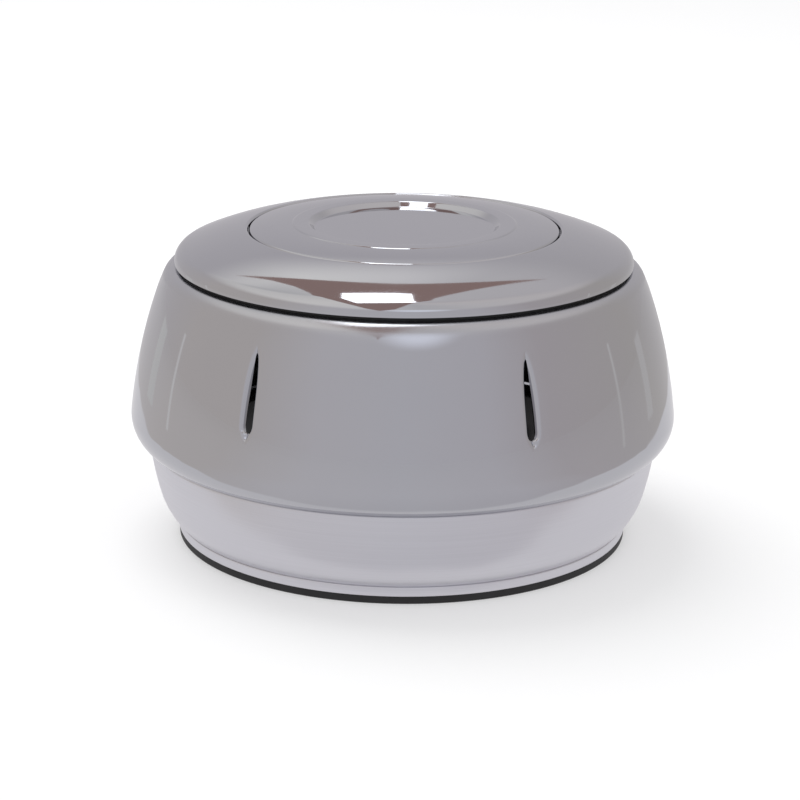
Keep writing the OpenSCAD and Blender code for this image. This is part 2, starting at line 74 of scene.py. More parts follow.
# ---------------------------------------------------------------- sizes and colours


def size(name, description, millimetres):
    """A length that the user can change, given in millimetres."""
    return FloatProperty(
        name=name,
        description=description,
        default=millimetres / 1000,
        min=0,
        subtype="DISTANCE",
        unit="LENGTH",
        precision=5,
    )


def turn(name, description, degrees):
    """An angle that the user can change, given in degrees."""
    return FloatProperty(
        name=name,
        description=description,
        default=math.radians(degrees),
        subtype="ANGLE",
        unit="ROTATION",
    )


def tone(code):
    """Linear red, green and blue of an sRGB hex colour such as #C4C6CA."""
    s = [int(code[i : i + 2], 16) / 255 for i in (1, 3, 5)]
    return tuple(c / 12.92 if c <= 0.04045 else ((c + 0.055) / 1.055) ** 2.4 for c in s)


def colour(name, description, code):
    """A colour that the user can change, given as sRGB hex."""
    return FloatVectorProperty(
        name=name,
        description=description,
        default=tone(code),
        size=3,
        min=0,
        max=1,
        subtype="COLOR",
    )


class HubCoverBarrel(bpy.types.PropertyGroup):
    """Sizes of the bright barrel and its vents."""

    sheet: size("Sheet", "Thickness of every pressed sheet", 1.2)
    turn_radius: size("Turn radius", "Radius of the turn at the widest part", 15.8)
    turn_under: turn("Turn under", "How far the turn runs under the widest part", 57)
    side_low: turn("Side low", "Lean of the side where it leaves the turn", 6)
    side_high: turn("Side high", "Lean of the side where it meets the shoulder", 19)
    side_rise: size("Side rise", "Height of the side's end above the waist", 71.4)
    shoulder_radius: size("Shoulder radius", "Radius of the shoulder", 95)
    shoulder_high: turn("Shoulder high", "Lean of the shoulder at the rolled neck", 25)
    neck_roll: size("Neck roll", "Outer radius of the rolled edge round the neck", 7)
    neck_depth: size("Neck depth", "Depth of the neck wall below the roll", 12)
    flange_inner: size("Flange inner", "Inner radius of the bolting flanges", 106.3)
    waist_bend: size("Waist bend", "Radius of the bend where the sheet turns in", 1.2)
    vent_count: IntProperty(name="Vents", description="Number of vents round the barrel", default=6, min=1)
    vent_turn: turn("Vent turn", "Turn of the first vent about the axis", -3)
    vent_level: size("Vent level", "Level where a dimple starts to narrow, above the waist", 47.12)
    vent_up: size("Vent up", "Height of a dimple above the vent level", 23.9)
    vent_down: size("Vent down", "Depth of a dimple below the vent level", 18.1)
    vent_width: size("Vent width", "Width of a dimple", 8.2)
    vent_depth: size("Vent depth", "How far a slot's lip is turned in", 2.5)
    slot_up: size("Slot up", "Height of a slot above the vent level", 20.5)
    slot_down: size("Slot down", "Depth of a slot below the vent level", 14.6)
    slot_width: size("Slot width", "Width of a slot", 3.6)


class HubCoverSkirt(bpy.types.PropertyGroup):
    """Sizes of the lower skirt, the foot band and the foot seal."""

    waist_step: size("Waist step", "Step in from the barrel to the skirt", 1.5)
    bowl_radius: size("Bowl radius", "Radius of the skirt's lower curve", 33)
    top_lean: turn("Top lean", "Lean of the skirt at the waist", 7)
    mid_lean: turn("Middle lean", "Lean of the skirt where the lower curve starts", 16)
    low_lean: turn("Low lean", "Lean of the skirt where it meets the foot band", 47)
    band_radius: size("Band radius", "Outer radius of the foot band", 108.02)
    bead: size("Bead", "Radius of the full bead at the foot", 1.4)
    lip_turn: turn("Lip turn", "How far the band's lip runs up behind the skirt", 9)
    seal_leg: size("Seal leg", "Thickness of the seal inside the band", 1.4)


class HubCoverGrip(bpy.types.PropertyGroup):
    """Sizes of the ring and the leaf springs that grip the hub."""

    ring_inner: size("Ring inner", "Inner radius of the ring", 100.06)
    ring_bend: size("Ring bend", "Outer radius of the bend under the flange", 3)
    hub_radius: size("Hub radius", "Radius of the hub that the springs grip", 95.06)
    leaf: size("Leaf", "Thickness of the spring steel", 0.8)
    leaf_width: size("Leaf width", "Width of a leaf spring", 18)
    leaf_flat: size("Leaf flat", "Length of the riveted flat", 12)
    leaf_apex: size("Leaf apex", "Height of the bow above the foot of a leaf", 10)
    finger_width: size("Finger width", "Width of a lid finger", 16)
    finger_bulge: size("Finger bulge", "How far a finger bulges out", 1.8)
    finger_apex: size("Finger apex", "Height of the bulge above a finger's foot", 5)
    finger_flat: size("Finger flat", "Length of a finger's riveted flat", 9)
    cup_outer: size("Cup outer", "Outer radius of the carrier's cup", 97.1)
    corner: size("Corner", "Radius of the corners of a leaf", 2.5)


class HubCoverLid(bpy.types.PropertyGroup):
    """Sizes of the lid ring, the centre plate and the neck seal."""

    edge_radius: size("Edge radius", "Radius of the lid's outer edge", 7.2)
    edge_turn: turn("Edge turn", "Slope where the edge meets the dome", 67)
    dome_turn: turn("Dome turn", "Slope of the dome at the seam", 79.5)
    hem: size("Hem", "Width of the hem under the edge", 3.6)
    seam_radius: size("Seam radius", "Radius of the seam round the plate", 73.86)
    shelf_top: size("Shelf top", "Height of the shelf under the plate", 141.92)
    shelf_inner: size("Shelf inner", "Inner radius of the shelf", 58.18)
    plate_turn: turn("Plate turn", "Slope of the plate at its fine step", 88)
    step_radius: size("Step radius", "Radius of the fine step", 53.18)
    step_round: size("Step round", "Rounding at the foot of the fine step", 0.15)
    step_crown: size("Step crown", "Rounding over the fine step", 2.4)
    recess_radius: size("Recess radius", "Radius where the recess's rim starts to turn down", 45.79)
    recess_roll: size("Recess roll", "Rounding at the rim of the recess", 1.5)
    recess_fillet: size("Recess fillet", "Rounding at the foot of the recess", 1)
    recess_depth: size("Recess depth", "Depth of the round recess", 2.3)
    recess_slope: turn("Recess slope", "Slope of the recess's wall", 40)
    seal_inner: size("Neck seal inner", "Inner radius of the neck seal", 101.32)
    seal_outer: size("Neck seal outer", "Outer radius of the neck seal", 106.52)


class HubCoverFinish(bpy.types.PropertyGroup):
    """Colours of the finishes."""

    chrome: colour("Chrome", "Bright chrome plate", "#C4C5C9")
    satin: colour("Satin", "Satin-polished plate of the skirt", "#DDDDE2")
    drawn: colour("Drawn steel", "Inside of the pressed sheets", "#6E6E70")
    rubber: colour("Rubber", "Black moulded rubber", "#151516")
    enamel: colour("Enamel", "Black baked enamel", "#121314")
    zinc: colour("Zinc", "Zinc plate on the fasteners", "#B4B6B2")
    spring: colour("Spring steel", "Tempered spring steel", "#6A6F78")


class HubCoverStage(bpy.types.PropertyGroup):
    """Sizes and colours of the studio."""

    distance: size("Camera distance", "From the camera to the point it looks at", 1300)
    aim: size("Camera aim", "Height of the point that the camera looks at", 63.7)
    elevation: turn("Camera elevation", "Angle of the camera above the floor", 16.71)
    roll: turn("Camera roll", "Turn of the camera about its own axis", 0.54)
    cloth: colour("Cloth", "Pale sheet round the cover, seen in the metal", "#E0DEE1")
    canopy: colour("Canopy", "Dark canopy overhead, seen in the metal", "#A08883")
    ceiling: size("Ceiling", "Height of the cards overhead", 1650)


# ---------------------------------------------------------------- shapes


def at(angle):
    """Unit vectors in a section at angles from the outward direction."""
    angle = np.asarray(angle, float)
    return np.stack([np.cos(angle), np.sin(angle)], -1)


def arc(centre, radius, start, end, step=math.radians(4)):
    """Points on a circle: centre + radius times the unit vector, with the angle in even steps."""
    count = max(1, math.ceil(abs(end - start) / step))
    return np.asarray(centre) + radius * at(np.linspace(start, end, count + 1))


def rounded(corners, step=math.radians(15)):
    """Outline through (radius, height, rounding) corners, of which the last is joined to the first. Each
    rounding is an arc tangent to both of its sides: its centre lies on the corner's bisector, at the
    rounding divided by the sine of half the corner's angle."""
    corners = np.asarray(corners, float)
    outline = []
    for before, here, after in zip(np.roll(corners, 1, 0), corners, np.roll(corners, -1, 0)):
        spot, bend = here[:2], here[2]
        back, ahead = before[:2] - spot, after[:2] - spot
        back, ahead = back / np.linalg.norm(back), ahead / np.linalg.norm(ahead)
        if bend <= 0:
            outline.append(spot[None])
            continue
        half = math.acos(float(np.clip(back @ ahead, -1, 1))) / 2
        centre = spot + (back + ahead) / np.linalg.norm(back + ahead) * bend / math.sin(half)
        first = spot + back * bend / math.tan(half) - centre
        last = spot + ahead * bend / math.tan(half) - centre
        start = math.atan2(first[1], first[0])
        sweep = (math.atan2(last[1], last[0]) - start + math.pi) % FULL - math.pi
        outline.append(arc(centre, bend, start, start + sweep, step))
    return np.concatenate(outline)


def net(index, ring_rows, ring_columns):
    """Faces of a grid of point numbers, each from (i, j) to (i, j+1), (i+1, j+1) and (i+1, j). Where two
    corners of a face share a point the face is a triangle, and where both pairs do it is left out. Gives
    the faces and the row that each came from."""
    a = index if ring_rows else index[:-1]
    b = np.roll(index, -1, 0) if ring_rows else index[1:]
    if ring_columns:
        faces = np.stack([a, np.roll(a, -1, 1), np.roll(b, -1, 1), b], -1)
    else:
        faces = np.stack([a[:, :-1], a[:, 1:], b[:, 1:], b[:, :-1]], -1)
    row = np.repeat(np.arange(len(a)), faces.shape[1])
    faces = faces.reshape(-1, 4)
    low, high = faces[:, 0] == faces[:, 1], faces[:, 2] == faces[:, 3]
    inner, outer = faces[:, 1] == faces[:, 2], faces[:, 3] == faces[:, 0]
    whole = ~(low | high | inner | outer)
    cuts = [
        (low & ~high, [0, 2, 3]),
        (high & ~low, [0, 1, 2]),
        (inner & ~outer, [0, 1, 3]),
        (outer & ~inner, [0, 1, 2]),
    ]
    parts = [(faces[whole], row[whole])] + [(faces[m][:, k], row[m]) for m, k in cuts]
    return [f for f, _ in parts], [r for _, r in parts]


def revolve(section, inside=None):
    """Turns a closed section about the axis: (r, z) at angle a goes to (r cos a, r sin a, z). A point on
    the axis is one shared pole. Rows from inside on take the second material."""
    r, z = np.asarray(section, float).T
    a = np.arange(SIDES) * FULL / SIDES
    points = np.stack([r[:, None] * np.cos(a), r[:, None] * np.sin(a), z[:, None] + 0 * a], -1)
    index = np.arange(len(r) * SIDES).reshape(len(r), SIDES)
    on_axis = r < 1e-7
    index[on_axis] = index[on_axis][:, :1]
    faces, rows = net(index, True, True)
    second = [k * 0 if inside is None else (k >= inside).astype(int) for k in rows]
    return points.reshape(-1, 3), faces, second


def leaves(line, width, thick, corner, turns):
    """Strips of spring sheet. A strip follows the line (r, z) of its outer face, top to bottom, and its
    inner face lies one thickness nearer the axis. Near an end the half-width is width/2 - c + sqrt(c^2 -
    (c - s)^2), for a corner radius c and a distance s from the end, which rounds the corners. Each strip
    is then turned about the axis."""
    along = np.concatenate([[0], np.cumsum(np.linalg.norm(np.diff(line, axis=0), axis=1))])
    near = np.minimum(np.minimum(along, along[-1] - along), corner)
    half = width / 2 - corner + np.sqrt(corner**2 - (corner - near) ** 2)
    across = np.linspace(1, -1, 7)
    front = np.stack([line[:, :1] + 0 * across, half[:, None] * across, line[:, 1:] + 0 * across], -1)
    back = front[:, ::-1] - [thick, 0, 0]
    ring = np.concatenate([front, back], 1)
    index = np.arange(ring.shape[0] * ring.shape[1]).reshape(ring.shape[:2])
    faces, _ = net(index, False, True)
    m = len(across)
    f, b = index[:, :m], index[:, : m - 1 : -1]
    top = np.stack([f[0, :-1], b[0, :-1], b[0, 1:], f[0, 1:]], -1)
    foot = np.stack([f[-1, :-1], f[-1, 1:], b[-1, 1:], b[-1, :-1]], -1)
    faces = np.concatenate([faces[0], top, foot])
    flat = ring.reshape(-1, 3)
    c, s = np.cos(turns)[:, None], np.sin(turns)[:, None]
    x, y, z = flat.T
    points = np.stack([x * c - y * s, x * s + y * c, z + 0 * c], -1)
    many = faces[None] + len(flat) * np.arange(len(turns))[:, None, None]
    return points.reshape(-1, 3), [many.reshape(-1, 4)], [np.zeros(many.size // 4, int)]


def cover_piece(name, shape, makes, body, nodes):
    """Makes the mesh of a piece, smooth but for its creases and open edges, hangs it on its body's empty and
    hides the imported parts that it stands for.
    makes lists the functions that make its materials."""
    points, faces, second = shape
    used = np.unique(np.concatenate([f.ravel() for f in faces]))
    place = np.zeros(len(points), int)
    place[used] = np.arange(len(used))
    mesh = bpy.data.meshes.new(name)
    mesh.from_pydata(points[used].tolist(), [], [f for group in faces for f in place[group].tolist()])
    for make in makes:
        mesh.materials.append(finish_of(make))
    mesh.polygons.foreach_set("material_index", np.concatenate(second).astype(np.int32))
    mesh.polygons.foreach_set("use_smooth", np.ones(len(mesh.polygons), bool))
    mesh.set_sharp_from_angle(angle=CREASE)
    edge_of = np.zeros(len(mesh.loops), np.int32)
    mesh.loops.foreach_get("edge_index", edge_of)
    open_edge = np.bincount(edge_of, minlength=len(mesh.edges)) == 1
    if open_edge.any():
        sharp = np.zeros(len(mesh.edges), bool)
        mesh.edges.foreach_get("use_edge_sharp", sharp)
        mesh.edges.foreach_set("use_edge_sharp", sharp | open_edge)
    mesh.update()
    piece = bpy.data.objects.new(name, mesh)
    bpy.context.scene.collection.objects.link(piece)
    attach(piece, body)
    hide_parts(*nodes)
    return piece


# ---------------------------------------------------------------- finishes


def add(tree, kind, sockets=None, ramp=(), **settings):
    """Adds one node with its settings. sockets gives each input a value or an output to link from, and
    ramp gives a colour ramp its stops, each a place and a colour."""
    node = tree.nodes.new(kind)
    for key, value in settings.items():
        setattr(node, key, value)
    for key, value in (sockets or {}).items():
        if isinstance(value, bpy.types.NodeSocket):
            tree.links.new(value, node.inputs[key])
        else:
            node.inputs[key].default_value = value
    for k, (place, shade) in enumerate(ramp):
        stops = node.color_ramp.elements
        stop = stops[k] if k < len(stops) else stops.new(place)
        stop.position = place
        stop.color = (*shade, 1)
    return node


def fresh(name):
    """A new material with only its output, and the tree to build in."""
    material = bpy.data.materials.new(name)
    material.use_nodes = True
    tree = material.node_tree
    tree.nodes.clear()
    return material, tree, tree.nodes.new("ShaderNodeOutputMaterial")


def finish_of(make):
    """The material whose nodes a function adds, made the first time it is asked for. It has the
    function's name."""
    name = make.__name__
    if name in bpy.data.materials:
        return bpy.data.materials[name]
    material, tree, out = fresh(name)
    spot = add(tree, "ShaderNodeTexCoord").outputs["Object"]
    shader = make(tree, spot, bpy.context.scene.hub_cover_finish)
    tree.links.new(shader.outputs[0], out.inputs[0])
    return material


def scaled(base, *shares):
    """A colour with its red, green and blue each multiplied by a share."""
    return tuple(c * share for c, share in zip(base, shares))


def mirror_chrome_on_buffed_steel(tree, spot, f):
    """Chrome plate on polished pressed steel: electroplated over buffed sheet. The eye sees a mirror
    whose reflections waver a little, with a haze from wiping that only shows as a softer or sharper
    reflection."""
    # the sheet's slow waves are about 40 mm long
    wave = add(tree, "ShaderNodeTexNoise", {"Vector": spot, "Scale": 25.0, "Detail": 1.0})
    # plating grain is far too fine to show, so it is drawn 2.5 mm wide
    grain = add(tree, "ShaderNodeTexNoise", {"Vector": spot, "Scale": 400.0, "Detail": 3.0})
    # wiping haze runs in soft patches about 30 mm across
    haze = add(tree, "ShaderNodeTexNoise", {"Vector": spot, "Scale": 33.0, "Detail": 5.0, "Roughness": 0.6})
    rough = add(
        tree,
        "ShaderNodeMapRange",
        {"Value": haze.outputs[0], "From Min": 0.35, "From Max": 0.7, "To Min": 0.035, "To Max": 0.07},
    )
    # the buffing wheel can't reach the rolled neck, so the plate is duller there: the haze comes in between
    # 6 mm and 4 mm below the roll's crown, and ends just over the crown, under the lid's bright edge
    height = add(tree, "ShaderNodeSeparateXYZ", {0: spot}).outputs["Z"]
    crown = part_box("barrel_shell")[1].z
    above = add(
        tree,
        "ShaderNodeMapRange",
        {"Value": height, "From Min": crown - 0.006, "From Max": crown - 0.004},
    )
    below = add(
        tree,
        "ShaderNodeMapRange",
        {
            "Value": height,
            "From Min": crown + 0.0005,
            "From Max": crown + 0.001,
            "To Min": 0.2,
            "To Max": 0.0,
        },
    )
    rough = add(
        tree,
        "ShaderNodeMath",
        {0: above.outputs[0], 1: below.outputs[0], 2: rough.outputs[0]},
        operation="MULTIPLY_ADD",
    )
    slow = add(tree, "ShaderNodeBump", {"Height": wave.outputs[0], "Strength": 1.0, "Distance": 2.0e-5})
    fine = add(
        tree,
        "ShaderNodeBump",
        {"Height": grain.outputs[0], "Strength": 1.0, "Distance": 4.0e-7, "Normal": slow.outputs[0]},
    )
    warm = add(
        tree,
        "ShaderNodeMix",
        {"Factor": haze.outputs[0], "A": (*f.chrome, 1), "B": (*scaled(f.chrome, 0.97, 0.97, 0.98), 1)},
        data_type="RGBA",
    )
    return add(
        tree,
        "ShaderNodeBsdfPrincipled",
        {
            "Base Color": warm.outputs["Result"],
            "Metallic": 1.0,
            "Roughness": rough.outputs[0],
            "Normal": fine.outputs[0],
        },
    )


def satin_polished_plated_steel(tree, spot, f):
    """Bright plate over satin-polished steel: the sheet is spun against a fine belt before it is plated.
    The eye sees a pale, soft-edged metal with faint rings round the axis."""
    # belt lines are 0.05 mm apart on the real thing and drawn about 0.5 mm apart, long round the axis
    long_way = add(tree, "ShaderNodeMapping", {"Vector": spot, "Scale": (12.0, 12.0, 2000.0)})
    line = add(tree, "ShaderNodeTexNoise", {"Vector": long_way.outputs[0], "Scale": 1.0, "Detail": 2.0})
    # the polish drifts in clouds about 30 mm across
    cloud = add(tree, "ShaderNodeTexNoise", {"Vector": spot, "Scale": 30.0, "Detail": 4.0})
    rough = add(tree, "ShaderNodeMapRange", {"Value": cloud.outputs[0], "To Min": 0.26, "To Max": 0.36})
    shade = add(
        tree,
        "ShaderNodeMix",
        {
            "Factor": line.outputs[0],
            "A": (*scaled(f.satin, 0.95, 0.95, 0.95), 1),
            "B": (*np.minimum(1, scaled(f.satin, 1.04, 1.04, 1.04)), 1),
        },
        data_type="RGBA",
    )
    bump = add(tree, "ShaderNodeBump", {"Height": line.outputs[0], "Strength": 0.6, "Distance": 1.0e-5})
    return add(
        tree,
        "ShaderNodeBsdfPrincipled",
        {
            "Base Color": shade.outputs["Result"],
            "Metallic": 1.0,
            "Roughness": rough.outputs[0],
            "Normal": bump.outputs[0],
        },
    )


def deep_drawn_steel_inside(tree, spot, f):
    """Inside of a deep-drawn sheet, left as it came off the press: grey steel with draw marks that run
    up the wall and thin plate that only hazed it. The eye sees dull, streaky metal."""
    # draw marks are about 1.4 mm wide and 40 mm long
    upright = add(tree, "ShaderNodeMapping", {"Vector": spot, "Scale": (700.0, 700.0, 25.0)})
    streak = add(tree, "ShaderNodeTexNoise", {"Vector": upright.outputs[0], "Scale": 1.0, "Detail": 3.0})
    # the thin plate clouds over in patches about 20 mm across
    patch = add(tree, "ShaderNodeTexNoise", {"Vector": spot, "Scale": 45.0, "Detail": 6.0})
    rough = add(tree, "ShaderNodeMapRange", {"Value": patch.outputs[0], "To Min": 0.32, "To Max": 0.55})
    shade = add(
        tree,
        "ShaderNodeValToRGB",
        {"Fac": patch.outputs[0]},
        ramp=[(0.3, scaled(f.drawn, 0.72, 0.72, 0.72)), (0.7, scaled(f.drawn, 1.12, 1.12, 1.12))],
    )
    bump = add(tree, "ShaderNodeBump", {"Height": streak.outputs[0], "Strength": 0.5, "Distance": 4.0e-5})
    return add(
        tree,
        "ShaderNodeBsdfPrincipled",
        {
            "Base Color": shade.outputs[0],
            "Metallic": 1.0,
            "Roughness": rough.outputs[0],
            "Normal": bump.outputs[0],
        },
    )


def moulded_black_nitrile_rubber(tree, spot, f):
    """Black nitrile rubber from a moulding press: a fine matt grain, a little pale bloom and dust in
    patches. The eye sees a soft black with a broad weak sheen."""
    # the mould's grain is 0.1 mm wide and drawn at 0.4 mm
    grain = add(tree, "ShaderNodeTexNoise", {"Vector": spot, "Scale": 2500.0, "Detail": 2.0})
    # bloom and dust lie in patches about 17 mm across
    bloom = add(
        tree,
        "ShaderNodeTexNoise",
        {"Vector": spot, "Scale": 60.0, "Detail": 6.0, "Roughness": 0.65},
    )
    shade = add(
        tree,
        "ShaderNodeValToRGB",
        {"Fac": bloom.outputs[0]},
        ramp=[(0.45, f.rubber), (0.8, [2.6 * c + 0.004 for c in f.rubber])],
    )
    rough = add(tree, "ShaderNodeMapRange", {"Value": bloom.outputs[0], "To Min": 0.5, "To Max": 0.78})
    bump = add(tree, "ShaderNodeBump", {"Height": grain.outputs[0], "Strength": 0.5, "Distance": 4.0e-5})
    return add(
        tree,
        "ShaderNodeBsdfPrincipled",
        {
            "Base Color": shade.outputs[0],
            "Roughness": rough.outputs[0],
            "IOR": 1.52,
            "Normal": bump.outputs[0],
        },
    )


def baked_black_enamel_on_steel(tree, spot, f):
    """Black enamel, sprayed and baked on pressed steel: a satin skin with orange peel. The eye sees deep
    black with a soft, slightly rippled highlight."""
    # orange peel is about 1.2 mm across
    peel = add(tree, "ShaderNodeTexNoise", {"Vector": spot, "Scale": 830.0, "Detail": 1.5})
    # dust lies in patches about 20 mm across
    dust = add(tree, "ShaderNodeTexNoise", {"Vector": spot, "Scale": 50.0, "Detail": 6.0})
    shade = add(
        tree,
        "ShaderNodeValToRGB",
        {"Fac": dust.outputs[0]},
        ramp=[(0.4, f.enamel), (0.85, [2.2 * c + 0.002 for c in f.enamel])],
    )
    rough = add(tree, "ShaderNodeMapRange", {"Value": dust.outputs[0], "To Min": 0.28, "To Max": 0.5})
    bump = add(tree, "ShaderNodeBump", {"Height": peel.outputs[0], "Strength": 0.35, "Distance": 5.0e-5})
    return add(
        tree,
        "ShaderNodeBsdfPrincipled",
        {
            "Base Color": shade.outputs[0],
            "Roughness": rough.outputs[0],
            "IOR": 1.54,
            "Normal": bump.outputs[0],
        },
    )


def zinc_plated_passivated_steel(tree, spot, f):
    """Bright zinc with a clear passivate on turned and stamped fasteners. The eye sees pale blue-grey
    metal with a faint straw tint, softened by fine tool marks."""
    # spangle and tint drift over about 4 mm
    tint = add(tree, "ShaderNodeTexNoise", {"Vector": spot, "Scale": 250.0, "Detail": 4.0})
    # tool marks are 0.1 mm apart and drawn at 0.3 mm
    mark = add(tree, "ShaderNodeTexNoise", {"Vector": spot, "Scale": 3300.0, "Detail": 1.0})
    shade = add(
        tree,
        "ShaderNodeValToRGB",
        {"Fac": tint.outputs[0]},
        ramp=[(0.35, scaled(f.zinc, 1.02, 0.97, 0.84)), (0.65, scaled(f.zinc, 0.94, 0.99, 1.06))],
    )
    rough = add(tree, "ShaderNodeMapRange", {"Value": tint.outputs[0], "To Min": 0.28, "To Max": 0.44})
    bump = add(tree, "ShaderNodeBump", {"Height": mark.outputs[0], "Strength": 0.4, "Distance": 1.5e-5})
    return add(
        tree,
        "ShaderNodeBsdfPrincipled",
        {
            "Base Color": shade.outputs[0],
            "Metallic": 1.0,
            "Roughness": rough.outputs[0],
            "Normal": bump.outputs[0],
        },
    )


def tempered_spring_steel_strip(tree, spot, f):
    """Spring steel strip, hardened and tempered: rolled smooth, then coloured by its oxide. The eye sees
    blue-grey metal that drifts to straw, with rolling lines along the strip."""
    # rolling lines run up the strip, drawn 0.8 mm apart
    upright = add(tree, "ShaderNodeMapping", {"Vector": spot, "Scale": (1200.0, 1200.0, 40.0)})
    rolled = add(tree, "ShaderNodeTexNoise", {"Vector": upright.outputs[0], "Scale": 1.0, "Detail": 2.0})
    # the oxide's colour drifts over about 14 mm
    heat = add(tree, "ShaderNodeTexNoise", {"Vector": spot, "Scale": 70.0, "Detail": 3.0})
    shade = add(
        tree,
        "ShaderNodeValToRGB",
        {"Fac": heat.outputs[0]},
        ramp=[
            (0.3, f.spring),
            (0.55, scaled(f.spring, 0.8, 0.9, 1.15)),
            (0.75, scaled(f.spring, 1.35, 1.15, 0.85)),
        ],
    )
    rough = add(tree, "ShaderNodeMapRange", {"Value": rolled.outputs[0], "To Min": 0.26, "To Max": 0.42})
    bump = add(tree, "ShaderNodeBump", {"Height": rolled.outputs[0], "Strength": 0.4, "Distance": 1.5e-5})
    return add(
        tree,
        "ShaderNodeBsdfPrincipled",
        {
            "Base Color": shade.outputs[0],
            "Metallic": 1.0,
            "Roughness": rough.outputs[0],
            "Normal": bump.outputs[0],
        },
    )


# ---------------------------------------------------------------- pieces


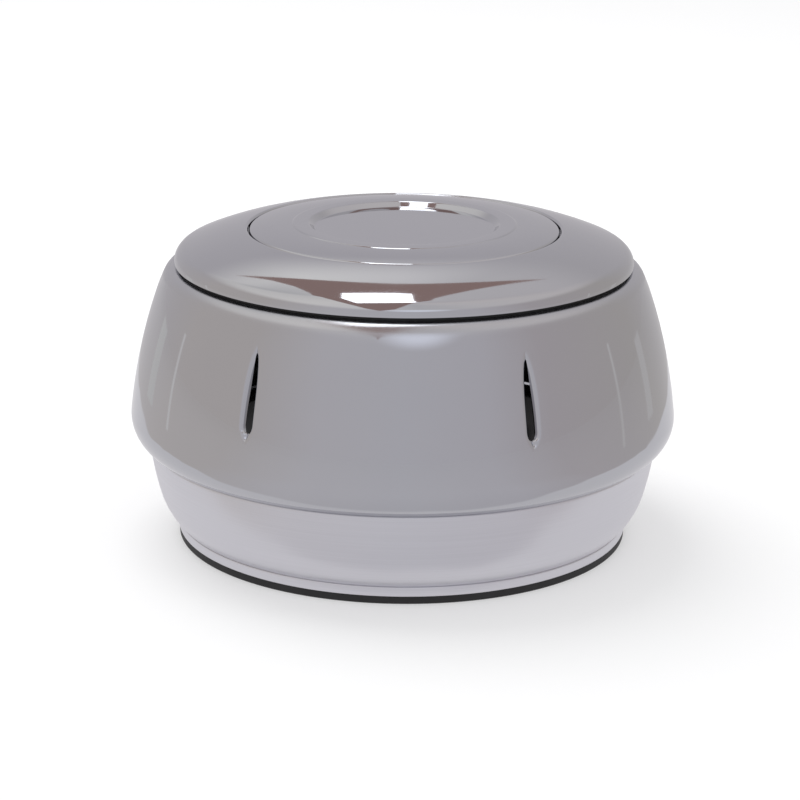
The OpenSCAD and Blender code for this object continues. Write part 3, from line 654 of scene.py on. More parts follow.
class HUBCOVER_OT_barrel(bpy.types.Operator):
    """Builds the bright barrel with its rolled neck and teardrop vents"""

    bl_idname = "hubcover.barrel"
    bl_label = "Barrel"

    def execute(self, context):
        b = context.scene.hub_cover_barrel
        low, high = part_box("barrel_shell")
        # the turn, the side, the shoulder and the roll are arcs, each tangent to the one before
        turn_mid = np.array([high.x - b.turn_radius, low.z + b.turn_radius * math.sin(b.turn_under)])
        turn_end = turn_mid + b.turn_radius * at(b.side_low)
        side_rise = low.z + b.side_rise - turn_end[1]
        side_radius = side_rise / (math.sin(b.side_high) - math.sin(b.side_low))
        side_mid = turn_end - side_radius * at(b.side_low)
        side_end = side_mid + side_radius * at(b.side_high)
        shoulder_mid = side_end - b.shoulder_radius * at(b.side_high)
        roll_mid = shoulder_mid + (b.shoulder_radius - b.neck_roll) * at(b.shoulder_high)
        neck_wall = [[roll_mid[0] - b.neck_roll, roll_mid[1] - k * b.neck_depth] for k in (0.5, 1)]
        # the bend at the waist takes the angle between the flange and the turn
        foot = turn_mid + b.turn_radius * at(-b.turn_under)
        cut = b.waist_bend * math.tan((QUARTER - b.turn_under) / 2)
        bend_mid = [foot[0] - cut, low.z + b.waist_bend]
        turn_start = cut / b.turn_radius - b.turn_under
        # rows are 0.45 mm apart over the vents
        fine = 0.00045 / side_radius
        vent_z = low.z + b.vent_level
        vent_low = math.asin((vent_z - b.vent_down - side_mid[1]) / side_radius)
        vent_high = math.asin((vent_z + b.vent_up - side_mid[1]) / side_radius)
        line = np.concatenate(
            [
                [[b.flange_inner, low.z], [(b.flange_inner + foot[0]) / 2, low.z]],
                arc(bend_mid, b.waist_bend, -QUARTER, -b.turn_under, step=0.15),
                arc(turn_mid, b.turn_radius, turn_start, b.side_low, step=math.radians(2.4))[1:],
                arc(side_mid, side_radius, b.side_low, vent_low, step=3 * fine)[1:],
                arc(side_mid, side_radius, vent_low, vent_high, step=fine)[1:],
                arc(side_mid, side_radius, vent_high, b.side_high, step=3 * fine)[1:],
                arc(shoulder_mid, b.shoulder_radius, b.side_high, b.shoulder_high, step=0.018)[1:],
                arc(roll_mid, b.neck_roll, b.shoulder_high, math.pi, step=math.radians(6.5))[1:],
                neck_wall,
            ]
        )
        piece = cover_piece(
            "barrel",
            self.pierce(b, line, vent_z),
            [mirror_chrome_on_buffed_steel, deep_drawn_steel_inside],
            "cover_body",
            ["barrel_shell"],
        )
        wall = piece.modifiers.new("sheet thickness", "SOLIDIFY")
        wall.thickness = b.sheet
        wall.offset = -1
        wall.material_offset = 1
        wall.material_offset_rim = 0
        return {"FINISHED"}

    def pierce(self, b, line, vent_z):
        """Turns the line about the axis and opens a vent in each sector. Heights h count from the vents'
        level. In a point, t is h / up for the dimple, and (h + e) / (up + e) for the slot, which is
        widest at e below the level. The dimple's half-width is W (1 - t^2)^0.6, and the slot's is
        w (1 - t^1.5)^0.45. Below, both keep their width and end in half an ellipse as tall as they are
        wide: the half-width times sqrt(1 - n^2), where n runs from 0 to 1 over that height.

        Across, the sheet sinks as d (1 - u)^2.2, where u runs from 0 at the slot to 1 at the dimple's
        edge. d is the depth times 1 - t^2 above the level and (1 - n^2)^0.8 below it. The two middle
        columns share points above and below the slot and no face joins them, so they part like a
        buttonhole."""
        r, z = line.T
        h = z - vent_z
        on_side = (r > b.flange_inner) & (h > -b.vent_down) & (h < b.vent_up)

        def half_width(width, up, down, belly, bluntness, power):
            point = np.clip((h + belly) / (up + belly), 0, 1)
            near = np.clip(1 - (down + h) / width, 0, 1)
            share = (1 - point**bluntness) ** power * np.sqrt(1 - near**2)
            return np.where(on_side, share, 0) * width / 2

        slot = half_width(b.slot_width, b.slot_up, b.slot_down, b.slot_down / 2, 1.5, 0.45)
        slot[slot < HAIR] = 0
        dimple = half_width(b.vent_width, b.vent_up, b.vent_down, 0, 2, 0.6)
        depth = (2 * dimple / b.vent_width) ** np.where(h > 0, 1 / 0.6, 1.6) * b.vent_depth
        dimple = np.maximum(dimple, slot + HAIR)
        slope = np.gradient(line, axis=0)
        normal = np.stack([slope[:, 1], -slope[:, 0]], -1)
        normal /= np.linalg.norm(normal, axis=1)[:, None]

        # a vent has 13 fine columns to each side, over 5.8 mm where the cover is 124 mm in radius, and
        # between two vents stand 24 wider ones, closer together near the vents
        zone = 0.0058 / 0.124
        fine = np.linspace(0, 1, 13)
        sector = FULL / b.vent_count
        share = np.linspace(0, 1, 26)[1:-1]
        share = share - 0.8 * np.sin(FULL * share) / FULL
        edge = (slot / r)[:, None]
        half = edge + (zone - edge) * fine
        between = zone + (sector - 2 * zone) * share
        angle = np.concatenate([-half[:, ::-1], half, np.repeat(between[None], len(r), 0)], 1)
        off = np.abs(angle) * r[:, None]
        u = np.clip((off - slot[:, None]) / (dimple - slot)[:, None], 0, 1)
        sunk = depth[:, None] * (1 - u) ** 2.2
        radius = r[:, None] - sunk * normal[:, :1]
        height = z[:, None] - sunk * normal[:, 1:]
        columns = angle.shape[1]
        start = b.vent_turn + sector * np.arange(b.vent_count)
        angle = (angle[:, None] + start[None, :, None]).reshape(len(r), -1)
        radius = np.tile(radius, (1, b.vent_count))
        height = np.tile(height, (1, b.vent_count))
        points = np.stack([radius * np.cos(angle), radius * np.sin(angle), height], -1).reshape(-1, 3)
        index = np.arange(angle.size).reshape(angle.shape)
        middle = len(fine) - 1 + columns * np.arange(b.vent_count)
        closed = slot == 0
        index[np.ix_(closed, middle + 1)] = index[np.ix_(closed, middle)]
        # the grid is cut between the middle columns of each vent
        faces, second = [], []
        order = np.roll(np.arange(angle.shape[1]), -(middle[0] + 1))
        for part in np.split(index[:, order], b.vent_count, axis=1):
            strips, rows = net(part, False, False)
            faces += strips
            second += [k * 0 for k in rows]
        return points, faces, second


class HUBCOVER_OT_skirt(bpy.types.Operator):
    """Builds the satin lower skirt"""

    bl_idname = "hubcover.skirt"
    bl_label = "Lower skirt"

    def execute(self, context):
        b, s = context.scene.hub_cover_barrel, context.scene.hub_cover_skirt
        outer, inner = skirt_lines(b, s)
        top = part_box("lower_skirt")[1].z
        bend = outer[-1] - [b.waist_bend, 0]
        # the arc starts before the line's last point and leaves its own first one out, so none stands twice
        section = np.concatenate(
            [
                outer,
                arc(bend, b.waist_bend, -0.1, QUARTER, step=0.2)[1:],
                [[b.flange_inner, top], [b.flange_inner, top - b.sheet]],
                [[bend[0] - 0.0004, top - b.sheet]],
                inner[::-1],
            ]
        )
        inside = len(section) - len(inner) - 3
        cover_piece(
            "skirt",
            revolve(section, inside),
            [satin_polished_plated_steel, deep_drawn_steel_inside],
            "cover_body",
            ["lower_skirt"],
        )
        return {"FINISHED"}


def skirt_start(b, s):
    """Upper end of the skirt's outer line: a step in from the barrel's foot, one sheet below the waist."""
    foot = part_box("barrel_shell")[1].x - b.turn_radius + b.turn_radius * math.cos(b.turn_under)
    return np.array([foot - s.waist_step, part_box("lower_skirt")[1].z - b.sheet])


def skirt_arcs(b, s):
    """Centre and radius of the skirt's upper arc, and centre of its lower one. They are tangent, and
    together they fall from the waist to the foot band."""
    start = skirt_start(b, s)
    drop = s.bowl_radius * (math.sin(s.low_lean) - math.sin(s.mid_lean))
    fall = start[1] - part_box("lower_skirt")[0].z
    radius = (fall - drop) / (math.sin(s.mid_lean) - math.sin(s.top_lean))
    centre = start - radius * at(-s.top_lean)
    bowl = centre + (radius - s.bowl_radius) * at(-s.mid_lean)
    return centre, radius, bowl


def skirt_lines(b, s):
    """Outer and inner lines of the skirt, from the foot band up to the bend at the waist."""
    centre, radius, bowl = skirt_arcs(b, s)
    bend_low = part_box("lower_skirt")[1].z - b.waist_bend
    last = -math.asin((centre[1] - bend_low) / radius)
    lines = []
    for depth in (0, b.sheet):
        lower = arc(bowl, s.bowl_radius - depth, -s.low_lean, -s.mid_lean, step=0.03)
        upper = arc(centre, radius - depth, -s.mid_lean, last, step=0.006)
        lines.append(np.concatenate([lower, upper[1:]]))
    return lines


class HUBCOVER_OT_foot(bpy.types.Operator):
    """Builds the satin foot band and the rubber seal pressed on its bead"""

    bl_idname = "hubcover.foot"
    bl_label = "Foot band and seal"

    def execute(self, context):
        b, s = context.scene.hub_cover_barrel, context.scene.hub_cover_skirt
        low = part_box("base_band")[0].z
        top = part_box("lower_skirt")[0].z
        bead = np.array([s.band_radius - s.bead, low + s.bead])
        inner = bead[0] - s.bead
        bowl = skirt_arcs(b, s)[2]
        # the lip runs up behind the skirt, and the band's upper edge is rounded in front of it
        lip = s.bowl_radius - b.sheet - GAP
        lip_end = s.lip_turn - s.low_lean
        under_skirt = bowl + (s.bowl_radius - 2 * GAP) * at(-s.low_lean)
        edge = 0.0006
        section = np.concatenate(
            [
                arc(bead, s.bead, -math.pi, 0, step=0.16),
                arc([s.band_radius - edge, top - edge], edge, 0, QUARTER, step=0.3),
                [under_skirt - [0, GAP]],
                arc(bowl, lip, -s.low_lean, lip_end, step=0.05),
                arc(bowl, lip - b.sheet, lip_end, -s.low_lean, step=0.05),
                [[inner, top + 0.0004]],
            ]
        )
        cover_piece(
            "foot_band",
            revolve(section),
            [satin_polished_plated_steel],
            "cover_body",
            ["base_band"],
        )

        # the seal wraps the bead from its outer side to the band's inner face
        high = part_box("foot_seal")[1]
        leg = inner - s.seal_leg
        seat = s.bead + GAP
        seat_start = -math.acos(min(1, (high.x - bead[0]) / seat))
        edge = 0.0004
        section = np.concatenate(
            [
                rounded([(leg, bead[1], 0), (leg, 0, 0.0008), (high.x, 0, 0.0009), (high.x, bead[1], 0)]),
                arc(bead, seat, seat_start, -math.pi, step=0.16),
                rounded([(inner, bead[1] + 0.0002, 0), (inner, high.z, edge), (leg, high.z - edge, edge)]),
            ]
        )
        cover_piece(
            "foot_seal_ring",
            revolve(section),
            [moulded_black_nitrile_rubber],
            "cover_body",
            ["foot_seal"],
        )
        return {"FINISHED"}


def leaf_line(seat, low, high, flat, apex, bulge, back, count):
    """Outer face of a spring leaf as (r, z) points, top to foot. A riveted flat stands at the seat. From
    it a cosine carries the leaf to its apex: r = seat + bulge (1 - cos a) / 2, with a from 0 to half a
    turn. Part of one carries the foot back: r = seat + bulge - back bulge (1 - cos a), with a from 0 to
    150 degrees. Heights fall in even steps."""
    t = np.linspace(0, 1, count)
    flat_end, apex_z = high - flat, low + apex
    bow = seat + bulge * (1 - np.cos(math.pi * t)) / 2
    foot = seat + bulge - back * bulge * (1 - np.cos(FLARE * t))
    return np.concatenate(
        [
            np.stack([seat + 0 * t, high + (flat_end - high) * t], -1)[:-1],
            np.stack([bow, flat_end + (apex_z - flat_end) * t], -1),
            np.stack([foot, apex_z + (low - apex_z) * t], -1)[1:],
        ]
    )


class HUBCOVER_OT_hub_grip(bpy.types.Operator):
    """Builds the black hub ring and the leaf springs on it"""

    bl_idname = "hubcover.hub_grip"
    bl_label = "Hub ring and springs"

    def execute(self, context):
        b, g = context.scene.hub_cover_barrel, context.scene.hub_cover_grip
        low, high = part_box("hub_ring")
        outer = g.ring_inner + b.sheet
        under = high.z - b.sheet
        section = rounded(
            [
                (g.ring_inner, low.z, BREAK),
                (outer, low.z, BREAK),
                (outer, under, g.ring_bend - b.sheet),
                (high.x, under, BREAK),
                (high.x, high.z, BREAK),
                (g.ring_inner, high.z, g.ring_bend),
            ],
            step=0.2,
        )
        cover_piece(
            "hub_grip_ring",
            revolve(section),
            [baked_black_enamel_on_steel],
            "cover_body",
            ["hub_ring"],
        )

        # the flat's long edges stand against the round ring, and the bow reaches in to the hub
        low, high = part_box("grip_springs")
        seat = math.sqrt((g.ring_inner - GAP) ** 2 - (g.leaf_width / 2) ** 2)
        bow = seat - g.leaf - g.hub_radius
        line = leaf_line(seat, low.z, high.z, g.leaf_flat, g.leaf_apex, -bow, back=0.35, count=25)
        turns = b.vent_turn + np.arange(LEAVES) * FULL / LEAVES
        cover_piece(
            "hub_leaf_springs",
            leaves(line, g.leaf_width, g.leaf, g.corner, turns),
            [tempered_spring_steel_strip],
            "cover_body",
            ["grip_springs"],
        )
        return {"FINISHED"}


class HUBCOVER_OT_neck_seal(bpy.types.Operator):
    """Builds the rubber ring glued on the rolled neck"""

    bl_idname = "hubcover.neck_seal"
    bl_label = "Neck seal"

    def execute(self, context):
        b, lid = context.scene.hub_cover_barrel, context.scene.hub_cover_lid
        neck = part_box("barrel_shell")[1].z
        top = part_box("neck_seal")[1].z
        inner, outer = lid.seal_inner, lid.seal_outer
        # the neck's bore is 1 mm inside the seal's
        roll = np.array([inner - 0.001 + b.neck_roll, neck - b.neck_roll])
        seat = b.neck_roll + GAP
        left, right = (math.acos((x - roll[0]) / seat) for x in (inner, outer))
        edge, foot = 0.0006, neck - 0.002
        section = np.concatenate(
            [
                arc(roll, seat, left, right, step=0.1),
                rounded([(outer, neck, 0), (outer, top, edge), (inner, top, edge), (inner, foot, 0)]),
            ]
        )
        cover_piece(
            "neck_seal_ring",
            revolve(section),
            [moulded_black_nitrile_rubber],
            "cover_body",
            ["neck_seal"],
        )
        return {"FINISHED"}


def lid_arcs(lid):
    """Centre of the lid's edge, centre and radius of the dome that carries on from it, and centre of the
    lip at the seam."""
    sheet = bpy.context.scene.hub_cover_barrel.sheet
    low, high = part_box("lid_ring")
    edge = np.array([high.x - lid.edge_radius, low.z + BREAK])
    end = edge + lid.edge_radius * at(lid.edge_turn)
    lip = lid.seam_radius + sheet
    across = end[0] - lip - sheet * math.cos(lid.dome_turn)
    radius = across / (math.cos(lid.edge_turn) - math.cos(lid.dome_turn))
    dome = end - radius * at(lid.edge_turn)
    lip_z = dome[1] + (radius - sheet) * math.sin(lid.dome_turn)
    return edge, dome, radius, np.array([lip, lip_z])


class HUBCOVER_OT_lid_ring(bpy.types.Operator):
    """Builds the bright outer ring of the lid"""

    bl_idname = "hubcover.lid_ring"
    bl_label = "Lid ring"

    def execute(self, context):
        b, lid = context.scene.hub_cover_barrel, context.scene.hub_cover_lid
        low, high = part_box("lid_ring")
        edge, dome, radius, lip = lid_arcs(lid)
        hem = high.x - lid.hem
        shelf_low = lid.shelf_top - b.sheet
        rise = math.asin((low.z + b.sheet - edge[1]) / (lid.edge_radius - b.sheet))
        outer = np.concatenate(
            [
                [[hem, low.z]],
                arc([high.x - BREAK, low.z + BREAK], BREAK, -QUARTER, 0, step=0.4),
                arc(edge, lid.edge_radius, 0, lid.edge_turn, step=0.045)[1:],
                arc(dome, radius, lid.edge_turn, lid.dome_turn, step=0.008)[1:],
                arc(lip, b.sheet, lid.dome_turn, math.pi, step=0.15)[1:],
                [[lid.seam_radius, lid.shelf_top], [lid.shelf_inner, lid.shelf_top]],
            ]
        )
        inner = np.concatenate(
            [
                [[hem, low.z + b.sheet]],
                arc(edge, lid.edge_radius - b.sheet, rise, lid.edge_turn, step=0.08),
                arc(dome, radius - b.sheet, lid.edge_turn, lid.dome_turn, step=0.03)[1:],
                [lip, [lip[0], shelf_low], [lid.shelf_inner, shelf_low]],
            ]
        )
        cover_piece(
            "lid_rim_ring",
            revolve(np.concatenate([outer, inner[::-1]]), len(outer) - 1),
            [mirror_chrome_on_buffed_steel, deep_drawn_steel_inside],
            "lid",
            ["lid_ring"],
        )
        return {"FINISHED"}


class HUBCOVER_OT_centre_plate(bpy.types.Operator):
    """Builds the bright centre plate with its fine step and round recess"""

    bl_idname = "hubcover.centre_plate"
    bl_label = "Centre plate"

    def execute(self, context):
        b, lid = context.scene.hub_cover_barrel, context.scene.hub_cover_lid
        low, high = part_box("centre_plate")
        land = high.z
        corner = np.array([high.x - b.sheet, lid_arcs(lid)[3][1]])
        start = corner + b.sheet * at(lid.dome_turn)
        across = start[0] - lid.step_radius
        radius = across / (math.cos(lid.dome_turn) - math.cos(lid.plate_turn))
        dome = start - radius * at(lid.dome_turn)
        end = dome + radius * at(lid.plate_turn)
        # the fine step rises in a small fillet and a wide crown
        fillet = end + [0, lid.step_round]
        both = lid.step_round + lid.step_crown
        step_turn = math.acos(1 - (land - end[1]) / both)
        crown = [end[0] - both * math.sin(step_turn), land - lid.step_crown]
        # the recess's wall is a straight slope between its rounded rim and its rounded foot
        slope = lid.recess_slope
        rim = np.array([lid.recess_radius, land - lid.recess_roll])
        rounds = lid.recess_roll + lid.recess_fillet
        drop = lid.recess_depth - rounds * (1 - math.cos(slope))
        wall_top = rim + lid.recess_roll * at(QUARTER + slope)
        wall_foot = wall_top - drop / math.sin(slope) * at(slope)
        foot = wall_foot - lid.recess_fillet * at(slope - QUARTER)
        floor = land - lid.recess_depth
        floor_rings = np.linspace(foot[0], 0, 12)[1:]
        # the underside runs past the fine step without one, 0.6 mm inside its foot
        under_step = [end[0] - 0.0006, land - b.sheet]
        outer = np.concatenate(
            [
                [[high.x, low.z]],
                arc(corner, b.sheet, 0, lid.dome_turn, step=0.15),
                arc(dome, radius, lid.dome_turn, lid.plate_turn, step=0.004)[1:],
                arc(fillet, lid.step_round, -QUARTER - 0.1, -QUARTER - step_turn, step=0.3),
                arc(crown, lid.step_crown, QUARTER - step_turn, QUARTER, step=0.04),
                [[(end[0] + rim[0]) / 2, land]],
                arc(rim, lid.recess_roll, QUARTER, QUARTER + slope, step=0.1),
                arc(foot, lid.recess_fillet, slope - QUARTER, -QUARTER, step=0.12),
                np.stack([floor_rings, floor + 0 * floor_rings], -1),
            ]
        )
        inner = np.concatenate(
            [
                [[high.x - b.sheet, low.z]],
                arc(dome, radius - b.sheet, lid.dome_turn, lid.plate_turn, step=0.02),
                [under_step],
                arc(rim, lid.recess_roll - b.sheet, QUARTER, QUARTER + slope, step=0.3),
                arc(foot, lid.recess_fillet + b.sheet, slope - QUARTER, -QUARTER, step=0.12),
                [[0, floor - b.sheet]],
            ]
        )
        cover_piece(
            "lid_centre_plate",
            revolve(np.concatenate([outer, inner[::-1]]), len(outer)),
            [mirror_chrome_on_buffed_steel, deep_drawn_steel_inside],
            "lid",
            ["centre_plate"],
        )
        return {"FINISHED"}


class HUBCOVER_OT_carrier(bpy.types.Operator):
    """Builds the black lid carrier and the spring fingers on its cup"""

    bl_idname = "hubcover.carrier"
    bl_label = "Lid carrier and fingers"

    def execute(self, context):
        scene = context.scene
        b, g, lid = scene.hub_cover_barrel, scene.hub_cover_grip, scene.hub_cover_lid
        low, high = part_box("lid_carrier")
        cup_in = g.cup_outer - b.sheet
        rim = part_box("lid_ring")[0].z + b.sheet
        # the web meets the shelf 1 mm inside the seam
        web = lid.seam_radius - 0.001
        section = rounded(
            [
                (cup_in, low.z, BREAK),
                (g.cup_outer, low.z, BREAK),
                (g.cup_outer, rim, 0.0005),
                (high.x, rim, BREAK),
                (high.x, rim + b.sheet, BREAK),
                (g.cup_outer, rim + b.sheet, 0.002),
                (web, high.z, 0.002),
                (lid.shelf_inner, high.z, 0.0002),
                (lid.shelf_inner, high.z - b.sheet, 0.0002),
                (web, high.z - b.sheet, 0.001),
                (cup_in, rim, 0.001),
            ]
        )
        cover_piece(
            "carrier",
            revolve(section),
            [baked_black_enamel_on_steel],
            "lid",
            ["lid_carrier"],
        )

        low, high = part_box("lid_fingers")
        seat = g.cup_outer + g.leaf
        line = leaf_line(
            seat, low.z, high.z, g.finger_flat, g.finger_apex, g.finger_bulge, back=0.4, count=21
        )
        turns = np.arange(LEAVES) * FULL / LEAVES
        cover_piece(
            "spring_fingers",
            leaves(line, g.finger_width, g.leaf, g.corner, turns),
            [tempered_spring_steel_strip],
            "lid",
            ["lid_fingers"],
        )
        return {"FINISHED"}


class HUBCOVER_OT_fasteners(bpy.types.Operator):
    """Gives the screws, washers, nuts, rivets, studs and gaskets their finishes"""

    bl_idname = "hubcover.fasteners"
    bl_label = "Fasteners and gaskets"

    def execute(self, context):
        finishes = {
            "joint_screws": zinc_plated_passivated_steel,
            "joint_washers": zinc_plated_passivated_steel,
            "joint_nuts": zinc_plated_passivated_steel,
            "grip_rivets": zinc_plated_passivated_steel,
            "plate_studs": zinc_plated_passivated_steel,
            "finger_rivets": zinc_plated_passivated_steel,
            "stud_nuts": tempered_spring_steel_strip,
            "joint_gasket": moulded_black_nitrile_rubber,
            "plate_gasket": moulded_black_nitrile_rubber,
        }
        for node, make in finishes.items():
            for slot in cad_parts[node].material_slots:
                slot.material = finish_of(make)
        return {"FINISHED"}


# ---------------------------------------------------------------- studio


# colours of the mirrored room by bearing: behind the cover, past its left, the camera and its right
WALLS = [
    (0.0, (0.54, 0.52, 0.55)),
    (0.08, (0.56, 0.54, 0.56)),
    (0.20, (0.60, 0.56, 0.54)),
    (0.30, (0.60, 0.56, 0.54)),
    (0.40, (0.64, 0.62, 0.64)),
    (0.50, (0.63, 0.62, 0.65)),
    (0.60, (0.61, 0.59, 0.62)),
    (0.68, (0.54, 0.50, 0.51)),
    (0.84, (0.53, 0.50, 0.48)),
    (0.92, (0.54, 0.52, 0.53)),
    (1.0, (0.54, 0.52, 0.55)),
]
CEILING = [
    (0.0, (0.86, 0.84, 0.84)),
    (0.04, (0.95, 0.93, 0.91)),
    (0.12, (0.80, 0.78, 0.76)),
    (0.34, (0.90, 0.87, 0.84)),
    (0.43, (0.85, 0.83, 0.82)),
    (0.53, (0.65, 0.64, 0.65)),
    (0.65, (0.73, 0.70, 0.70)),
    (0.80, (0.74, 0.70, 0.69)),
    (0.92, (0.66, 0.63, 0.64)),
    (0.97, (0.68, 0.66, 0.67)),
    (1.0, (0.86, 0.84, 0.84)),
]
# upright bars: name, bearing in degrees, width as a share of the distance, height and colour
BARS = [
    ("bar_far_left", -120, 0.12, 0.10, (0.66, 0.65, 0.64)),
    ("bar_left", -102, 0.024, 0.14, (0.74, 0.72, 0.71)),
    ("bar_right", 92, 0.022, 0.16, (0.64, 0.62, 0.61)),
    ("bar_far_right", 113.5, 0.09, 0.11, (0.62, 0.60, 0.59)),
]
BAR_DISTANCE = 0.5  # from the axis


def bearing(tree, way):
    """The bearing of a direction or a spot on the floor as a share of a turn: 0 behind the cover, 0.5
    towards the camera. Also gives the node that parts it into X, Y and Z."""
    part = add(tree, "ShaderNodeSeparateXYZ", {0: way})
    near = add(tree, "ShaderNodeMath", {0: part.outputs["Y"], 1: -1.0}, operation="MULTIPLY")
    angle = add(tree, "ShaderNodeMath", {0: part.outputs["X"], 1: near.outputs[0]}, operation="ARCTAN2")
    share = add(
        tree,
        "ShaderNodeMath",
        {0: angle.outputs[0], 1: 1 / FULL, 2: 0.5},
        operation="MULTIPLY_ADD",
    )
    return share.outputs[0], part


def soft_patch(tree, way, under, middle, reach, shade):
    """Lays a soft-edged oval of one colour over what mirrors see. It has a middle direction and a reach
    along each axis, and fades out between a fifth of its reach and its end."""
    spot = add(
        tree,
        "ShaderNodeMapping",
        {"Vector": way, "Location": middle, "Scale": reach},
        vector_type="TEXTURE",
    )
    apart = add(tree, "ShaderNodeVectorMath", {0: spot.outputs[0]}, operation="LENGTH")
    full = add(
        tree,
        "ShaderNodeMapRange",
        {"Value": apart.outputs["Value"], "From Min": 0.2, "From Max": 1.0, "To Min": 1.0, "To Max": 0.0},
        interpolation_type="SMOOTHSTEP",
    )
    return add(
        tree,
        "ShaderNodeMix",
        {"Factor": full.outputs[0], "A": under.outputs["Result"], "B": (*shade, 1)},
        data_type="RGBA",
    )


def card(name, points, shade):
    """A flat card that only mirrors see: corner points in order, and one emission colour."""
    mesh = bpy.data.meshes.new(name)
    mesh.from_pydata(points, [], [list(range(len(points)))])
    material, tree, out = fresh(name)
    glow = add(tree, "ShaderNodeEmission", {"Color": (*shade, 1), "Strength": 1.0})
    tree.links.new(glow.outputs[0], out.inputs[0])
    mesh.materials.append(material)
    sheet = bpy.data.objects.new(name, mesh)
    bpy.context.scene.collection.objects.link(sheet)
    sheet.visible_camera = False
    sheet.visible_diffuse = False
    sheet.visible_shadow = False


def upright_bar(name, heading, width, height, shade):
    """A thin upright card, turned to face the cover. The heading is 0 towards the camera and grows to
    the right."""
    out = np.array([math.sin(heading), -math.cos(heading)])
    side = np.array([math.cos(heading), math.sin(heading)]) * BAR_DISTANCE * width / 2
    a, b = out * BAR_DISTANCE - side, out * BAR_DISTANCE + side
    card(name, [(*a, 0), (*b, 0), (*b, height), (*a, height)], shade)


class HUBCOVER_OT_stage(bpy.types.Operator):
    """Builds the floor, the soft light, the cards that the bright metal mirrors, and the camera"""

    bl_idname = "hubcover.stage"
    bl_label = "Studio"

    def execute(self, context):
        scene, s = context.scene, context.scene.hub_cover_stage
        scene.view_settings.view_transform = "Standard"
        self.floor(s)
        self.room(scene)
        self.cards(s)
        self.lamp()
        self.camera(scene, s)
        return {"FINISHED"}

    def floor(self, s):
        """A round white floor. Bright metal sees it as a grey table with a pale cloth round the cover."""
        sides, radius = 96, 4
        a = np.arange(sides) * FULL / sides
        mesh = bpy.data.meshes.new("floor")
        points = np.stack([radius * np.cos(a), radius * np.sin(a), 0 * a], -1)
        mesh.from_pydata(points.tolist(), [], [list(range(len(a)))])
        material, tree, out = fresh("white_floor")
        spot = add(tree, "ShaderNodeTexCoord").outputs["Object"]
        path = add(tree, "ShaderNodeLightPath")
        # the cloth's edge wavers by a centimetre or two over about 17 cm
        waver = add(tree, "ShaderNodeTexNoise", {"Vector": spot, "Scale": 6.0})
        lean = add(
            tree,
            "ShaderNodeVectorMath",
            {0: waver.outputs["Color"], 1: (0.5, 0.5, 0.5)},
            operation="SUBTRACT",
        )
        moved = add(
            tree,
            "ShaderNodeVectorMath",
            {0: lean.outputs[0], 1: (0.08, 0.08, 0.0), 2: spot},
            operation="MULTIPLY_ADD",
        )
        # the cloth is an oval 0.70 m by 0.54 m, a little behind the cover
        oval = add(
            tree,
            "ShaderNodeMapping",
            {
                "Vector": moved.outputs[0],
                "Location": (0.01, 0.14, 0),
                "Rotation": (0, 0, math.radians(-6)),
                "Scale": (0.35, 0.268, 1),
            },
            vector_type="TEXTURE",
        )
        reach = add(tree, "ShaderNodeVectorMath", {0: oval.outputs[0]}, operation="LENGTH")
        edge = add(
            tree,
            "ShaderNodeMapRange",
            {"Value": reach.outputs["Value"], "From Min": 0.96, "From Max": 0.985},
        )
        # away from the cloth the table has the wall's colour, so no horizon shows in the metal
        share, _ = bearing(tree, spot)
        table = add(tree, "ShaderNodeValToRGB", {"Fac": share}, ramp=WALLS)
        mirrored = add(
            tree,
            "ShaderNodeMix",
            {"Factor": edge.outputs[0], "A": (*s.cloth, 1), "B": table.outputs[0]},
            data_type="RGBA",
        )
        # the floor lights the cover as a white one would. To the camera part of its white is its own, which
        # lightens the shadow.
        seen = add(
            tree,
            "ShaderNodeMix",
            {
                "Factor": path.outputs["Is Glossy Ray"],
                "A": (0.86, 0.86, 0.86, 1),
                "B": (0.08, 0.08, 0.08, 1),
            },
            data_type="RGBA",
        )
        seen = add(
            tree,
            "ShaderNodeMix",
            {
                "Factor": path.outputs["Is Camera Ray"],
                "A": seen.outputs["Result"],
                "B": (0.64, 0.64, 0.64, 1),
            },
            data_type="RGBA",
        )
        matt = add(tree, "ShaderNodeBsdfDiffuse", {"Color": seen.outputs["Result"]})
        to_camera = add(
            tree,
            "ShaderNodeMath",
            {0: path.outputs["Is Camera Ray"], 1: 0.38},
            operation="MULTIPLY",
        )
        strength = add(
            tree,
            "ShaderNodeMath",
            {0: path.outputs["Is Glossy Ray"], 1: 0.9, 2: to_camera.outputs[0]},
            operation="MULTIPLY_ADD",
        )
        tint = add(
            tree,
            "ShaderNodeMix",
            {"Factor": path.outputs["Is Glossy Ray"], "A": (1, 1, 1, 1), "B": mirrored.outputs["Result"]},
            data_type="RGBA",
        )
        glow = add(
            tree,
            "ShaderNodeEmission",
            {"Color": tint.outputs["Result"], "Strength": strength.outputs[0]},
        )
        both = add(tree, "ShaderNodeAddShader", {0: matt.outputs[0], 1: glow.outputs[0]})
        tree.links.new(both.outputs[0], out.inputs[0])
        mesh.materials.append(material)
        floor = bpy.data.objects.new("floor", mesh)
        bpy.context.scene.collection.objects.link(floor)

    def room(self, scene):
        """The world: white to the camera, an even soft light on matt surfaces, and to bright metal a
        grey room that is warmer at the sides and brighter overhead."""
        world = bpy.data.worlds.new("room")
        scene.world = world
        world.use_nodes = True
        tree = world.node_tree
        tree.nodes.clear()
        way = add(tree, "ShaderNodeTexCoord").outputs["Generated"]
        path = add(tree, "ShaderNodeLightPath")
        share, part = bearing(tree, way)
        walls = add(tree, "ShaderNodeValToRGB", {"Fac": share}, ramp=WALLS)
        ceiling = add(tree, "ShaderNodeValToRGB", {"Fac": share}, ramp=CEILING)
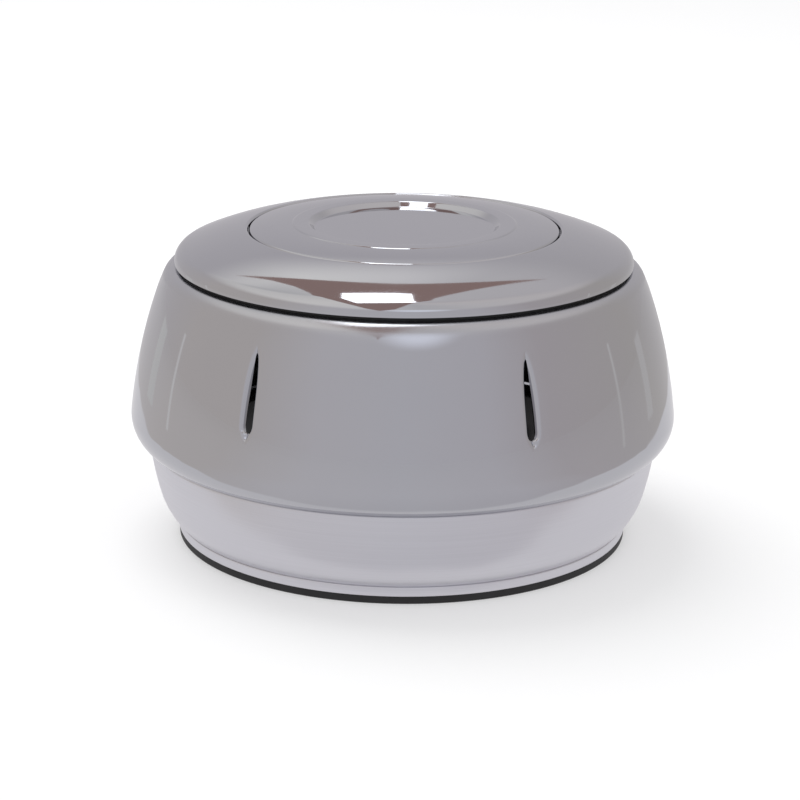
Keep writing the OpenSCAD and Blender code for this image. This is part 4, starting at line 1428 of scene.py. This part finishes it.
        # the walls give way to the ceiling between 27 and 45 degrees above the floor
        rise = add(
            tree,
            "ShaderNodeMapRange",
            {"Value": part.outputs["Z"], "From Min": 0.46, "From Max": 0.71},
            interpolation_type="SMOOTHSTEP",
        )
        mirrored = add(
            tree,
            "ShaderNodeMix",
            {"Factor": rise.outputs[0], "A": walls.outputs[0], "B": ceiling.outputs[0]},
            data_type="RGBA",
        )
        # a pale patch above the camera, a little to the right, that ends 21 degrees to each side
        mirrored = soft_patch(
            tree,
            way,
            mirrored,
            middle=(0.10, -0.80, 0.56),
            reach=(0.36, 0.5, 0.15),
            shade=(0.97, 0.99, 1.08),
        )
        # a dimmer part of the ceiling, overhead to the left and behind
        mirrored = soft_patch(
            tree,
            way,
            mirrored,
            middle=(-0.32, 0.53, 0.78),
            reach=(0.24, 0.26, 0.24),
            shade=(0.67, 0.66, 0.66),
        )
        lit = add(
            tree,
            "ShaderNodeMix",
            {
                "Factor": path.outputs["Is Glossy Ray"],
                "A": (0.78, 0.78, 0.79, 1),
                "B": mirrored.outputs["Result"],
            },
            data_type="RGBA",
        )
        shown = add(
            tree,
            "ShaderNodeMix",
            {"Factor": path.outputs["Is Camera Ray"], "A": lit.outputs["Result"], "B": (1, 1, 1, 1)},
            data_type="RGBA",
        )
        sky = add(tree, "ShaderNodeBackground", {"Color": shown.outputs["Result"]})
        out = tree.nodes.new("ShaderNodeOutputWorld")
        tree.links.new(sky.outputs[0], out.inputs[0])

    def cards(self, s):
        """Overhead, a dark canopy with a window in it; round the sides, thin upright bars. Corners
        overhead are in units of the height above the lid, first to the right and then away from the
        camera."""
        lid_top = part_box("centre_plate")[1].z
        reach = s.ceiling - lid_top
        # the canopy is a crescent with a stem, and the crescent's far edge is y = 0.795 + 1.15 |x|^1.7
        far = np.linspace(-0.58, 0.46, 27)
        canopy = [(x, 0.795 + 1.15 * abs(x) ** 1.7) for x in far]
        canopy += [(0.09, 0.54), (0.05, 0.15), (0.0, -0.5), (-0.09, -1.1)]
        canopy += [(-0.37, -1.73), (-0.41, -1.05), (-0.35, -0.2), (-0.285, 0.45), (-0.29, 0.66)]
        canopy += [(-0.335, 0.8), (-0.42, 0.98)]
        window = [(-0.183, 0.618), (0.023, 0.596), (0.049, 0.154), (-0.247, -0.174)]
        card("canopy", [(x * reach, y * reach, s.ceiling) for x, y in canopy], s.canopy)
        # the window is brighter than white and hangs just under the canopy
        card("window", [(x * reach, y * reach, s.ceiling - 0.02) for x, y in window], (3.4, 3.5, 3.6))
        for name, degrees, width, height, shade in BARS:
            upright_bar(name, math.radians(degrees), width, height, shade)

    def lamp(self):
        """A large soft lamp overhead, a little to the left and front, that mirrors don't see."""
        light = bpy.data.lights.new("soft_lamp", "AREA")
        light.shape = "DISK"
        light.size = 1.4
        light.energy = 14
        lamp = bpy.data.objects.new("soft_lamp", light)
        bpy.context.scene.collection.objects.link(lamp)
        lamp.matrix_world = (
            Matrix.Rotation(math.radians(-18), 4, "Y")
            @ Matrix.Rotation(math.radians(-20), 4, "X")
            @ Matrix.Translation((0, 0, 1.9))
        )
        lamp.visible_camera = False
        lamp.visible_glossy = False

    def camera(self, scene, s):
        """A long lens that looks down on the cover from the front."""
        lens = bpy.data.cameras.new("camera")
        lens.lens = 121.59
        lens.sensor_width = 36
        lens.shift_x = -0.0035
        lens.clip_end = 20
        camera = bpy.data.objects.new("camera", lens)
        scene.collection.objects.link(camera)
        camera.matrix_world = (
            Matrix.Translation((0, 0, s.aim))
            @ Matrix.Rotation(QUARTER - s.elevation, 4, "X")
            @ Matrix.Translation((0, 0, s.distance))
            @ Matrix.Rotation(s.roll, 4, "Z")
        )
        scene.camera = camera


PIECES = (
    HUBCOVER_OT_barrel,
    HUBCOVER_OT_skirt,
    HUBCOVER_OT_foot,
    HUBCOVER_OT_hub_grip,
    HUBCOVER_OT_neck_seal,
    HUBCOVER_OT_lid_ring,
    HUBCOVER_OT_centre_plate,
    HUBCOVER_OT_carrier,
    HUBCOVER_OT_fasteners,
    HUBCOVER_OT_stage,
)
GROUPS = {
    "hub_cover_barrel": HubCoverBarrel,
    "hub_cover_skirt": HubCoverSkirt,
    "hub_cover_grip": HubCoverGrip,
    "hub_cover_lid": HubCoverLid,
    "hub_cover_finish": HubCoverFinish,
    "hub_cover_stage": HubCoverStage,
}


class HUBCOVER_PT_panel(bpy.types.Panel):
    """Buttons that build the cover, piece by piece"""

    bl_idname = "HUBCOVER_PT_panel"
    bl_label = "Wheel hub cover"
    bl_space_type = "VIEW_3D"
    bl_region_type = "UI"
    bl_category = "Hub cover"

    def draw(self, context):
        for piece in PIECES:
            self.layout.operator(piece.bl_idname)


def register():
    for group in (*GROUPS.values(), *PIECES, HUBCOVER_PT_panel):
        bpy.utils.register_class(group)
    for name, group in GROUPS.items():
        setattr(bpy.types.Scene, name, PointerProperty(type=group))


def unregister():
    for name in GROUPS:
        delattr(bpy.types.Scene, name)
    for group in (HUBCOVER_PT_panel, *reversed(PIECES), *reversed(GROUPS.values())):
        bpy.utils.unregister_class(group)


def main():
    register()
    bpy.ops.hubcover.barrel()
    bpy.ops.hubcover.skirt()
    bpy.ops.hubcover.foot()
    bpy.ops.hubcover.hub_grip()
    bpy.ops.hubcover.neck_seal()
    bpy.ops.hubcover.lid_ring()
    bpy.ops.hubcover.centre_plate()
    bpy.ops.hubcover.carrier()
    bpy.ops.hubcover.fasteners()
    bpy.ops.hubcover.stage()
    bpy.context.view_layer.update()


if __name__ == "__main__":
    main()
